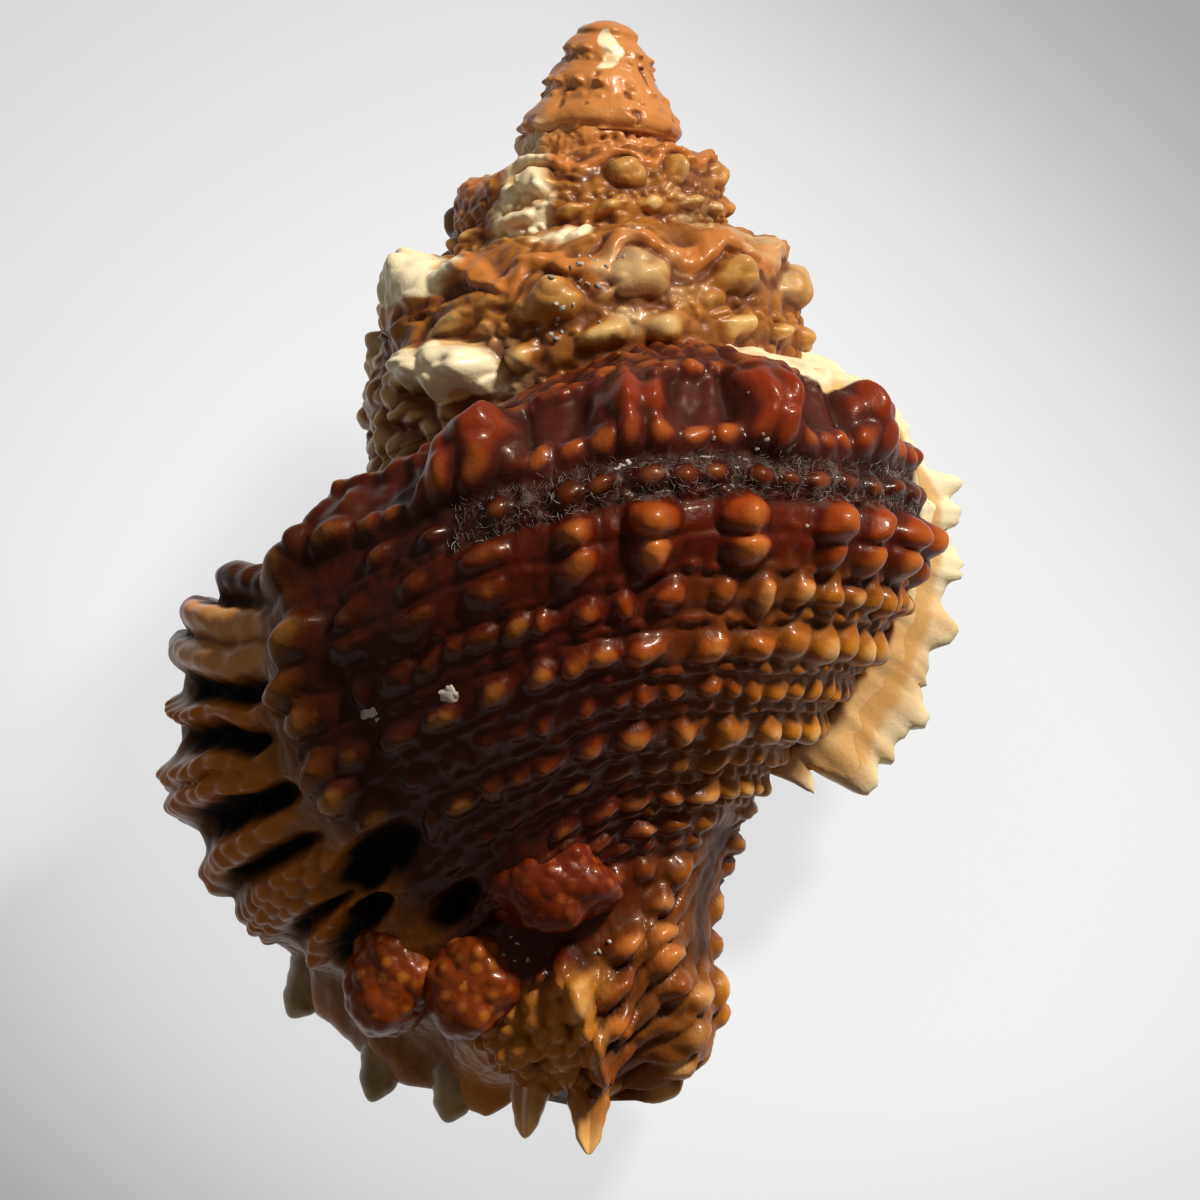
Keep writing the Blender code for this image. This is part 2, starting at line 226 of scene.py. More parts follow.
# Beads of the last whorl, row by row: share, spacing, length, width and height in millimetres, and then the
# turns where the larger beads stand when they are placed one by one.
beadRows = (
    (0.055, 1.9, 1.7, 1.3, 0.5), (0.092, 1.6, 1.3, 1.0, 0.35),
    (0.263, 1.9, 1.55, 1.5, 0.6, 0.235, 0.262, 0.292, 0.323, 0.337, 0.361, 0.375, 0.388, 0.413, 0.429, 0.445, 0.465,
     0.487, 0.512, 0.54, 0.565),
    (0.285, 1.0, 0.8, 0.6, 0.16),
    (0.314, 4.6, 2.1, 2.4, 1.45, 0.225, 0.254, 0.287, 0.325, 0.362, 0.404, 0.454, 0.487, 0.521, 0.567),
    (0.351, 4.6, 2.1, 2.2, 1.15, 0.226, 0.255, 0.288, 0.326, 0.363, 0.405, 0.455, 0.488, 0.522, 0.568),
    (0.375, 1.1, 0.8, 0.6, 0.18),
    (0.4, 2.2, 1.4, 1.9, 0.78, 0.2, 0.208, 0.225, 0.242, 0.258, 0.271, 0.283, 0.3, 0.312, 0.333, 0.35, 0.371, 0.396,
     0.419, 0.442, 0.467, 0.486, 0.502, 0.52, 0.538, 0.553, 0.568, 0.582),
    (0.428, 1.2, 0.9, 0.6, 0.2),
    (0.459, 3.0, 1.75, 2.0, 0.8, 0.213, 0.236, 0.258, 0.287, 0.31, 0.329, 0.342, 0.362, 0.396, 0.425, 0.45, 0.473,
     0.496, 0.52, 0.545, 0.568),
    (0.49, 1.2, 0.9, 0.6, 0.2),
    (0.52, 1.8, 1.05, 1.3, 0.48, 0.215, 0.235, 0.256, 0.279, 0.296, 0.312, 0.333, 0.354, 0.367, 0.383, 0.404, 0.421,
     0.438, 0.456, 0.472, 0.49, 0.508, 0.525, 0.541, 0.557, 0.573),
    (0.546, 1.2, 0.9, 0.6, 0.18),
    (0.577, 2.9, 1.45, 1.8, 0.78, 0.232, 0.254, 0.275, 0.291, 0.308, 0.333, 0.362, 0.396, 0.433, 0.467, 0.496, 0.521,
     0.545, 0.567),
    (0.606, 1.2, 0.9, 0.7, 0.2), (0.632, 1.7, 1.25, 1.2, 0.44), (0.657, 1.2, 0.9, 0.7, 0.2),
    (0.682, 2.3, 1.6, 1.7, 0.75, 0.321, 0.35, 0.375, 0.412, 0.442, 0.472, 0.5, 0.53, 0.56),
    (0.712, 1.3, 1.0, 0.9, 0.28), (0.742, 2.0, 1.5, 1.4, 0.55), (0.768, 1.4, 1.0, 0.9, 0.28),
    (0.795, 2.0, 1.5, 1.3, 0.52), (0.815, 2.1, 1.9, 1.4, 0.65), (0.847, 2.2, 2.1, 1.4, 0.8),
    (0.88, 2.3, 2.1, 1.5, 0.9), (0.913, 2.2, 2.1, 1.5, 0.9), (0.946, 2.1, 2.0, 1.4, 0.85),
    (0.979, 2.1, 1.9, 1.4, 0.85), (1.012, 2.2, 2.0, 1.5, 0.95), (1.045, 2.3, 2.1, 1.5, 1.0),
    (1.078, 2.2, 2.0, 1.4, 0.95),
)
# thin cuts between the cords: share
cuts = (0.292, 0.332, 0.384, 0.418, 0.437, 0.481, 0.5, 0.536, 0.556, 0.598, 0.617, 0.648, 0.668, 0.702, 0.724,
        0.757, 0.78)
# beside the canal the rows run obliquely, in share per turn, with cracks between them
oblique = {"from": 0.81, "slope": -0.75, "cracks": (0.831, 0.8635, 0.8965, 0.9295, 0.9625, 0.9955, 1.0285, 1.0615)}

shoulder = {
    # turn and height
    "knobs": ((0.201, 1.5), (0.275, 2.9), (0.352, 1.9), (0.421, 2.3), (0.494, 1.9), (0.56, 0.7), (0.665, 1.8),
              (0.815, 1.7), (0.89, 1.8), (0.965, 1.5)),
    "length": 2.5, "share": 0.172, "width": 2.1, "ribs": 0.16, "saddle": 1.0,
    "beadRows": ((0.118, 1.45, 1.25, 1.2, 0.42), (0.21, 1.5, 1.5, 1.6, 0.75)),
    "underKnob": (0.735, 0.355, 2.5, 2.3, 2.6),
}

spire = {
    # turn and share of each knob; the whorls above the second repeat its pattern
    "knobs": (
        ((1.045, 0.185), (1.225, 0.205), (1.291, 0.218), (1.362, 0.184), (1.452, 0.188), (1.545, 0.19), (1.64, 0.19),
         (1.745, 0.185), (1.85, 0.185), (1.95, 0.185)),
        ((2.05, 0.165), (2.254, 0.161), (2.363, 0.165), (2.438, 0.158), (2.545, 0.158), (2.64, 0.158),
         (2.745, 0.165), (2.85, 0.165), (2.95, 0.165)),
    ),
    "length": 3.6, "width": 2.2, "height": 2.6,
    # turn of the knob that is worn low, and its share of the full height
    "wornKnob": (1.225, 0.55),
    "crestAbove": 0.064, "crestDips": 0.046, "crestWidth": 1.1, "crest": 1.8,
    # how far below the knobs, then length, width and height of the lower barrels
    "lower": (0.096, 3.5, 2.3, 1.3),
    "varices": ((1.105, 0.42, 1.0), (1.62, 0.0, 0.5), (2.07, 0.4, 0.7), (2.62, 0.0, 0.4)),
    "varixHeight": 1.95, "varixWidth": 0.026, "granules": 520,
}

lipVarix = {
    # share and turn along its middle, half width in turns and height
    "middle": ((0.0, 0.105), (0.55, 0.105), (0.694, 0.16), (0.812, 0.212), (1.0, 0.215)),
    "width": 0.058, "height": 0.7,
    # share an eighth of a turn back, slope in share per turn, half width in share and height of each roll
    "rolls": (
        (0.168, 0.9, 0.026, 1.75), (0.219, 0.9, 0.019, 1.6), (0.257, 0.9, 0.017, 1.25), (0.315, 0.9, 0.009, 0.55),
        (0.372, 0.5, 0.019, 1.2), (0.4, 0.5, 0.02, 1.2), (0.462, 0.2, 0.021, 0.85), (0.531, 0.25, 0.036, 0.75),
        (0.594, 0.0, 0.011, 0.5)),
    # the crevices between the rolls, in the same terms
    "crevices": (
        (0.192, 0.9, 0.008, 0.35), (0.288, 1.0, 0.011, 1.3), (0.342, 1.0, 0.012, 1.3), (0.427, 0.5, 0.015, 1.3),
        (0.489, 0.5, 0.009, 0.85), (0.573, 0.3, 0.008, 0.7), (0.618, 0.0, 0.014, 0.9)),
    "flare": 0.6, "flareTurns": 0.035, "web": 1.5, "ribTurn": 0.196, "ribHeight": 0.8,
    # turn, share, length, width and height of the swellings under the two large knobs near the canal
    "knobs": ((0.158, 0.69, 4.6, 5.3, 1.0), (0.222, 0.838, 4.9, 4.9, 1.0)),
    # turn, share, length, width, depth
    "pits": (
        (0.192, 0.573, 4.4, 2.5, 1.4), (0.166, 0.615, 2.6, 1.8, 1.3), (0.212, 0.69, 2.9, 2.3, 1.5),
        (0.15, 0.44, 4.2, 1.4, 1.3), (0.192, 0.765, 1.4, 1.6, 1.0), (0.262, 0.76, 3.0, 1.3, 0.6)),
    # turn, share, length, width, height of the scales where the cords end
    "scales": (
        (0.195, 0.118, 2.6, 2.2, 0.8), (0.188, 0.222, 2.6, 2.2, 1.1), (0.2, 0.312, 2.4, 2.2, 1.0),
        (0.19, 0.358, 2.4, 1.8, 0.9), (0.198, 0.398, 2.3, 1.7, 0.9), (0.197, 0.453, 2.2, 1.7, 0.8),
        (0.199, 0.49, 2.0, 1.5, 0.7), (0.212, 0.535, 1.8, 1.4, 0.6)),
    # share, slope, first and last turn, spacing, bead size and height on the rolls
    "grains": (
        (0.37, 0.5, 0.03, 0.175, 1.35, 1.2, 0.34), (0.398, 0.5, 0.03, 0.16, 1.35, 1.2, 0.34),
        (0.455, 0.2, 0.04, 0.165, 1.2, 1.1, 0.3), (0.471, 0.2, 0.04, 0.16, 1.2, 1.1, 0.26),
        (0.512, 0.25, 0.03, 0.17, 1.1, 1.05, 0.36), (0.531, 0.25, 0.03, 0.17, 1.1, 1.05, 0.36),
        (0.55, 0.25, 0.03, 0.17, 1.1, 1.05, 0.36), (0.594, 0.0, 0.05, 0.18, 1.1, 1.0, 0.4),
        (0.315, 0.9, 0.06, 0.13, 1.0, 0.9, 0.35), (0.64, 0.0, 0.03, 0.115, 1.2, 1.0, 0.3)),
}

oldFlange = {
    "turn": 0.612, "halfWidth": 0.013, "ribs": 0.13, "ribEvery": 0.0195,
    # share and height
    "outline": (
        (0.02, 0.5), (0.12, 0.7), (0.16, 1.2), (0.21, 1.3), (0.228, 2.4), (0.36, 2.2), (0.39, 2.9), (0.45, 3.0),
        (0.49, 3.7), (0.575, 4.2), (0.6, 3.7), (0.618, 2.0), (0.645, 1.7), (0.66, 0.4), (0.84, 0.2), (1.0, 0.0)),
    # share, half width and height of the lobes
    "lobes": (
        (0.06, 0.02, 0.5), (0.16, 0.02, 0.4), (0.238, 0.013, 0.9), (0.27, 0.014, 0.7), (0.335, 0.02, 0.7),
        (0.4, 0.018, 1.0), (0.445, 0.016, 0.4), (0.492, 0.019, 1.0), (0.543, 0.016, 0.5), (0.59, 0.015, 0.8),
        (0.636, 0.013, 1.0)),
}

canalBase = {
    "mound": (0.295, 0.728, 5.2, 4.4, 0.9),
    # the raised edge beside the canal: share and turn along it, half width and height in millimetres
    "edge": ((0.86, 0.306), (0.885, 0.318), (0.915, 0.332), (0.945, 0.35), (0.982, 0.378)),
    "edgeWidth": 0.62, "edgeHeight": 1.15, "rightSwell": 1.3,
}

dice = np.random.default_rng(7)


def alongMillimetres(turn, share):
    return tau * max(float(section(turn, share)[0]), 0.6)


def shareLength(turn):
    return sectionLength * (1.0 if turn < 1.0 else sizeAt(turn - 0.35))


def slopeOf(share):
    return oblique["slope"] * (share > oblique["from"])


def rowPlaces(first, last, share, spacing, slope=0.0, around=0.45):
    places = []
    turn = first
    while turn < last:
        here = share + slope * (turn - around)
        places.append((turn + dice.uniform(-0.15, 0.15) * spacing / alongMillimetres(turn, here), here))
        turn += spacing * sizeAt(max(turn - 0.9, 0.0)) / alongMillimetres(turn, here)
    return places


def lastWhorlBeads():
    # turn, share, and length, width and height in millimetres of every bead
    beads = []
    for share, spacing, length, width, height, *chosen in beadRows:
        start = 0.625 if chosen else 0.205 if share < 0.62 else 0.23
        places = [(turn, share) for turn in chosen]
        places += rowPlaces(start, 1.24 if share > 0.38 else 1.12, share, spacing, slopeOf(share))
        for turn, here in places:
            if turn < 0.31 and here > 0.83 or here > 0.99 or inStrip(turn, here) or plate(turn, here) > 0.3:
                continue
            # the beads are low and small in the dull stretch beside the lip
            dull = fall(turn, 0.25, 0.4) + ease(turn, 0.66, 0.72) if 0.35 < share < 0.81 else 0.0
            if 0.3 < share < 0.36:
                dull = 1.4 * fall(turn, 0.27, 0.35) + 1.6 * ease(turn, 0.6, 0.64)
            grown = dice.uniform(0.8, 1.15)
            place = here + dice.uniform(-0.0022, 0.0022)
            sizes = (length * grown * (1 - 0.1 * dull), width * dice.uniform(0.85, 1.1) * (1 - 0.3 * dull),
                     0.95 * height * grown * (1 - 0.45 * dull))
            beads.append((turn, place, *sizes))
    for share, spacing, length, width, height in shoulder["beadRows"]:
        for turn, here in rowPlaces(0.2, 1.12, share, spacing):
            beads.append((turn, here, length, width, height * (0.45 + 0.6 * knobness(turn))))
    beads += lipVarix["scales"]
    for share, slope, first, last, spacing, size, height in lipVarix["grains"]:
        for turn, here in rowPlaces(first, last, share, spacing, slope, 0.125):
            beads.append((turn, here, size, size * 0.9, height * dice.uniform(0.7, 1.15)))
    beads += clusterAround(0.275, 0.935, 3.6, 2.9, 1.05, 0.5)
    # small lumps on the ramp
    for _ in range(150):
        turn = dice.uniform(0.21, 0.46)
        size = dice.uniform(0.8, 1.7)
        beads.append((turn, dice.uniform(0.045, 0.125), size, size * 0.9, 0.34 * size))
    return beads


def plate(turn, share):
    # the smooth cream plate on the ramp before the old flange
    edge = np.interp(turn, (0.43, 0.475, 0.56), (0.09, 0.138, 0.14))
    return fall(share, edge - 0.01, edge + 0.006) * between(turn, 0.425, 0.44, 0.63, 0.65)


def inStrip(turn, share):
    # the flat grey strip beside the canal carries no beads
    return 0.475 < turn < 0.6 and 0.74 < share < 0.875


def knobness(turn):
    return max(bump((turn - place) * girth, shoulder["length"]) for place, _ in shoulder["knobs"])


def clusterAround(turn, share, reachAlong, reachAcross, size, height):
    beads = []
    perTurn = alongMillimetres(turn, share)
    row = 0
    across = -reachAcross
    while across <= reachAcross:
        room = reachAlong * math.sqrt(max(1 - (across / reachAcross) ** 2, 0.05))
        along = -room + (row % 2) * size * 0.5
        while along <= room:
            t = turn + (along + dice.uniform(-0.18, 0.18)) / perTurn
            s = share + (across + dice.uniform(-0.18, 0.18)) / sectionLength
            grown = dice.uniform(0.7, 1.2)
            beads.append((t, s, size * 0.95 * grown, size * 0.95 * grown, height * grown))
            along += size
        across += size * 0.86
        row += 1
    return beads


def spireBeads():
    # the lower row of short barrels, and the granules above and below it
    beads = []
    below, length, width, height = spire["lower"]
    turn = 1.0
    while turn < 4.2:
        size = sizeAt(turn)
        worn = 1 - 0.8 * ease(turn, 2.95, 3.3)
        line = knobLine(turn)
        place = turn + dice.uniform(-0.006, 0.006)
        grown = size * dice.uniform(0.85, 1.1)
        beads.append((place, line + below, length * grown, width * grown, height * size * worn))
        for i in range(9):
            grown = size * dice.uniform(0.6, 1.1)
            step = (i + dice.uniform(-0.3, 0.3)) * 0.0062
            row = line + (0.058, 0.074, below + 0.045)[i % 3] + dice.uniform(-0.006, 0.006)
            beads.append((turn + step, row, 1.3 * grown, 1.2 * grown, 0.5 * grown * worn))
        turn += 0.056
    for _ in range(spire["granules"]):
        turn = dice.uniform(1.0, 3.2)
        size = sizeAt(turn) * dice.uniform(0.5, 1.1)
        beads.append((turn, dice.uniform(0.02, 0.3), 1.7 * size, 1.4 * size, 0.48 * size))
    return beads


def knobLine(turns):
    # the share at which the knobs of the spire stand
    return np.interp(turns, *zip(*(place for whorl in spire["knobs"] for place in whorl)))


# how far a bead's dome reaches each way, as a share of its length and width
domeReach = 0.66


def layBeads(turns, share, bent, beads):
    # the highest of the domes at each grid point, in millimetres, how far up its dome the point is,
    # and a tone of its own for each bead
    t, s = bent
    dome, tip, tone = np.zeros((3, len(turns), len(share)))
    tones = np.random.default_rng(5).uniform(0.0, 1.0, len(beads))
    for (turn, place, length, width, height), own in zip(beads, tones):
        if turn < turns[0] - 0.03 or turn > turns[-1] + 0.03:
            continue
        here = []
        reaches = []
        for grid, middle, size, whole in ((turns, turn, length, alongMillimetres(turn, place)),
                                          (share, place, width, shareLength(turn))):
            reaches.append(domeReach * size / whole)
            spare = reaches[-1] + 0.5 / whole
            here.append(slice(*np.searchsorted(grid, (middle - spare, middle + spare))))
        here = tuple(here)
        reachAlong, reachAcross = reaches
        if not dome[here].size:
            continue
        shape = unit(1 - ((t[here] - turn) / reachAlong) ** 2 - ((s[here] - place) / reachAcross) ** 2) ** 1.2
        tone[here] = np.where(height * shape > dome[here], own, tone[here])
        tip[here] = np.maximum(tip[here], shape * min(length / 1.3, 1.0) ** 2)
        dome[here] = np.maximum(dome[here], height * shape)
    return dome, tip, tone


def softly(field, along, across):
    # a running mean both ways, run twice
    for axis, reach in ((0, int(along)), (1, int(across))) * 2:
        if reach < 1:
            continue
        ends = [(0, 0), (0, 0)]
        ends[axis] = (reach + 1, reach)
        summed = np.cumsum(np.pad(field, ends, mode="edge"), axis=axis)
        steps = np.arange(field.shape[axis])
        field = (summed.take(steps + 2 * reach + 1, axis) - summed.take(steps, axis)) / (2 * reach + 1)
    return field


def lumps(points, size, seed):
    # smooth random lumps of about this size in millimetres, from -1 to 1
    table = np.random.default_rng(seed).uniform(-1, 1, (32, 32, 32))
    low = np.floor(points / size).astype(int)
    part = points / size - low
    part = part * part * (3 - 2 * part)
    total = 0.0
    for corner in np.ndindex(2, 2, 2):
        index = np.moveaxis((low + corner) % 32, -1, 0)
        total = total + np.prod(np.where(corner, part, 1 - part), axis=-1) * table[tuple(index)]
    return total


def bentGrid(t, s, places):
    # turns and shares pushed about a little, so that no bead or cord is quite regular
    around = tau * np.maximum(section(t, s)[0], 1.5)
    reach = 0.3 * sizeAt(np.maximum(t - 0.9, 0.0)) * (1 + 1.3 * ease(t, 1.02, 1.08))
    along = lumps(places, 2.6, 21) + 0.5 * lumps(places, 1.0, 22)
    across = lumps(places, 2.4, 23) + 0.5 * lumps(places, 0.9, 24)
    return t + reach * along / around, s + reach * across / sectionLength


def ovals(t, s, turn, share, length, width, power=1.25):
    along = (t - turn) * alongMillimetres(turn, share) / (0.5 * length)
    across = (s - share) * shareLength(turn) / (0.5 * width)
    return np.exp(-((along**2 + across**2) ** power))


def awayFrom(t, s, turn, share, length, width):
    # squared, and 1 at this length and width in millimetres
    return ((t - turn) * girth / length) ** 2 + ((s - share) * sectionLength / width) ** 2


def cordAt(s, share, width):
    return bump((s - share) * sectionLength, width)


def shoulderForms(t, s):
    v = shoulder
    height = np.zeros_like(t)
    across = (s - v["share"]) * sectionLength / v["width"]
    across = across * (1 - 0.15 * (across < 0) + 0.25 * (across > 0))
    for place, tall in v["knobs"]:
        along = (t - place) * girth / v["length"]
        # each knob is a round peak with faint ribs down its sides
        ribs = 1 + v["ribs"] * 0.5 * np.cos(along * 7.5 + place * 40) * bump(across + 0.3, 0.9)
        height = np.maximum(height, tall * np.exp(-(along**2 + across**2)) * ribs)
    between = 1 - unit(height / (0.5 * height.max() + 1e-6))
    reach = np.where(s < 0.165, 0.085, 0.045)
    height = height - v["saddle"] * bump((s - 0.165) / reach, 1.0) * between * ease(t, 0.22, 0.26)
    # the ramp falls away before the old flange
    height = height - 1.1 * bump(t - 0.54, 0.06) * fall(s, 0.11, 0.16)
    *oval, tall = v["underKnob"]
    return np.maximum(height, tall * sizeAt(t) * np.exp(-(awayFrom(t, s, *oval) ** 1.25)))


def cordForms(t, s):
    height = np.zeros_like(t)
    dull = 1 - 0.75 * fall(t, 0.28, 0.48) * between(s, 0.36, 0.4, 0.8, 0.84)
    for row, _, _, width, tall, *_ in beadRows:
        if row > 0.2:
            height = height + 0.36 * tall * cordAt(s, row + slopeOf(row) * (t - 0.45), 0.55 * width) * dull
    for row, _, _, width, tall in shoulder["beadRows"]:
        height = height + 0.3 * tall * cordAt(s, row, 0.6 * width)
    for row in cuts:
        height = height - 0.12 * cordAt(s, row, 0.26) * ease(t, 0.2, 0.26) * dull
    for row in oblique["cracks"]:
        height = height - 0.4 * cordAt(s, row + oblique["slope"] * (t - 0.45), 0.22) * ease(t, 0.31, 0.34)
    return height


def lipForms(t, s):
    v = lipVarix
    width = v["width"] * (1 - 0.35 * ease(s, 0.55, 0.72))
    body = np.exp(-np.abs((t - np.interp(s, *zip(*v["middle"]))) / width) ** 3)
    rolls, pits = (
        highest(0.0 * t, *(tall * bump(s - row - slope * (t - 0.125), wide) for row, slope, wide, tall in v[kind]))
        for kind in ("rolls", "crevices"))
    pits = pits * between(t, 0.085, 0.118, 0.155, 0.185)
    for *oval, deep in v["pits"]:
        pits = np.maximum(pits, deep * ovals(t, s, *oval, 1.6))
    rib = v["ribHeight"] * bump(t - v["ribTurn"], 0.018) * between(s, 0.16, 0.24, 0.55, 0.66)
    web = v["web"] * fall(t, 0.005, 0.045) * between(s, 0.54, 0.58, 0.95, 0.99)
    flare = v["flare"] * fall(t, 0.0, v["flareTurns"]) * between(s, 0.03, 0.15, 0.8, 0.95)
    raised = (v["height"] + rolls) * (0.45 + 0.55 * ease(s, 0.13, 0.19)) * body * ease(s, 0.0, 0.08)
    knobs = highest(0.0 * t, *(tall * ovals(t, s, *oval, 1.4) for *oval, tall in v["knobs"]))
    return np.maximum(raised, knobs), rib + flare + web, pits * (1 - unit(knobs / 0.9))


def canalForms(t, s):
    *oval, tall = canalBase["mound"]
    away = (t - np.interp(s, *zip(*canalBase["edge"]))) * tau * np.maximum(section(t, s)[0], 0.6)
    ridge = canalBase["edgeHeight"] * bump(away, canalBase["edgeWidth"])
    # the plate beside the raised edge slopes down to the lip
    sloping = 0.5 * unit(1 + away / 3.5) * (away < 0)
    strip = bump(t - 0.535, 0.052) * between(s, 0.73, 0.76, 0.865, 0.885)
    return tall * ovals(t, s, *oval) + np.maximum(ridge, sloping) * ease(s, 0.845, 0.875), strip


def flangeForms(t, s):
    f = oldFlange
    wide = f["halfWidth"] * (1.0 + 1.2 * (t > f["turn"]))
    body = np.exp(-np.abs((t - f["turn"]) / wide) ** 3.2)
    lobes = highest(0.0 * t, *(tall * bump(s - row, wide) for row, wide, tall in f["lobes"]))
    ribs = f["ribs"] * np.cos(tau * s / f["ribEvery"] + 3 * np.sin(40 * s)) * ease(s, 0.12, 0.2)
    return (np.interp(s, *zip(*f["outline"])) + lobes + ribs - 0.15) * body * ease(s, 0.0, 0.05)


def spireForms(t, s):
    k = spire
    line = knobLine(t)
    knobs = np.zeros_like(t)
    places = [place for whorl in k["knobs"] for place in whorl]
    places += [(turn + more, share) for more in (1, 2) for turn, share in k["knobs"][1]]
    for turn, share in places:
        if t.min() - 0.05 <= turn <= t.max() + 0.05:
            tall = k["wornKnob"][1] if turn == k["wornKnob"][0] else 1.0
            away = awayFrom(t, s, turn, share, k["length"], k["width"])
            knobs = np.maximum(knobs, tall * unit(1 - away) ** 0.85)
    # the crest rises over each knob and hangs between them
    phase = tau * np.interp(t, [turn for turn, _ in places], np.arange(len(places)))
    arch = (0.5 + 0.5 * np.cos(phase)) ** 0.8
    worn = 1 - 0.72 * ease(t, 2.92, 3.25)
    crest = line - k["crestAbove"] + k["crestDips"] * (1 - arch)
    slope = k["crestDips"] * sectionLength * math.pi * np.abs(np.sin(phase)) / (0.085 * girth)
    away = (s - crest) * sectionLength / (k["crestWidth"] * np.hypot(1.0, slope))
    ridge = np.exp(-np.abs(away * (1 + 0.2 * (away > 0) - 0.35 * (away < 0))) ** 2.2)
    height = highest(k["height"] * knobs, 0.8 * cordAt(s, line, 2.6), k["crest"] * ridge * (0.7 + 0.3 * arch))
    height = height - 0.45 * bump(away - 1.45, 0.45) * (0.4 + 0.6 * arch) * (1 - unit(knobs * 1.1))
    height = (height - 0.75 * cordAt(s, 0.03, 1.6) + 0.45 * cordAt(s, line + k["lower"][0], 1.3)) * worn * sizeAt(t)
    # the first varix narrows between its two lobes
    height = height - 1.1 * bump(t - 1.07, 0.08) * bump(s - 0.225, 0.065)
    # below the crest a line of painted shadow, carried into the band mask as a negative value
    shadow = bump(away - 1.35, 0.5) * (1 - unit(knobs * 1.3))
    lobes = 1.25 * bump(s - 0.118, 0.07) + 1.05 * bump(s - 0.313, 0.058) + 0.3 * bump(s - 0.212, 0.02)
    for turn, slope, strength in k["varices"]:
        away = (t - turn - slope * (s - 0.05)) / k["varixWidth"] / (1 + 0.75 * (s < 0.2))
        grown = np.exp(-np.abs(away) ** 3) * sizeAt(turn - 0.5) * (0.08 + lobes) * ease(s, 0.015, 0.08)
        height = np.maximum(height, k["varixHeight"] * strength * grown)
    return height * fall(s, 0.345, 0.38), (ridge - shadow) * worn


def broadForms(t, s):
    # knobs, cords, varix, flange, crest and pits on a grid, in millimetres
    onSpire = ease(t, 0.98, 1.04)
    raised, added, pits = lipForms(t, s)
    base, strip = canalForms(t, s)
    flange = flangeForms(t, s)
    onTop, crest = spireForms(t, s)
    height = (shoulderForms(t, s) + cordForms(t, s) * (1 - strip) * ease(t, 0.165, 0.2)) * (t < 1.02)
    height = np.maximum(height, raised) + added - pits + base + flange + onTop * onSpire
    return height, pits, flange, strip + crest * onSpire


def wrinkles(t, s, places):
    # growth folds that run from the suture over the shoulder, and fine unevenness everywhere
    folds = np.sin(tau * (t * 62 + 0.8 * lumps(places, 3.5, 11)))
    strong = between(s, 0.0, 0.03, 0.17, 0.23) * (0.07 - 0.05 * ease(t, 0.98, 1.03)) + 0.03
    rough = lumps(places, 0.85, 12) * 0.09 + lumps(places, 0.4, 13) * 0.05
    onTop = lumps(places, 1.5, 16) * 0.3 + lumps(places, 0.8, 17) * 0.22
    rough = rough + onTop * ease(t, 1.0, 1.04) * (1 - 0.6 * ease(t, 2.7, 3.0))
    pitted = unit(lumps(places, 1.3, 18) - 0.42) * 1.6
    eroded = (lumps(places, 3.0, 14) * 0.6 + lumps(places, 1.5, 15) * 0.2 - pitted) * ease(t, 2.85, 3.2)
    return (strong * fall(s, 0.62, 0.8) * folds + rough + eroded) * sizeAt(np.maximum(t - 0.2, 0.0))


lastBeads = lastWhorlBeads()
topBeads = spireBeads()
print("beads:", len(lastBeads), "on the last whorl,", len(topBeads), "on the spire")


wall = {
    # the lip's edge starts at this turn, is rounded over this length and pulled in this far, in millimetres
    "lipStarts": -0.01, "lipRound": 1.1, "lipPulled": 0.95,
    # where the outside lies below the smooth whorl, and how deep a hollow in it may be
    "sunk": 0.3, "deepest": -0.95,
    # what stands this far above its surroundings, which are this wide, is coloured as raised
    "relief": 0.42, "surroundings": 1.1,
}


def roundedEdge(turns):
    # how far the lip's edge is pulled in, from 0 to 1
    away = unit((turns - wall["lipStarts"]) * girth / wall["lipRound"])
    return 1 - np.sqrt(unit(1 - (1 - away) ** 2))


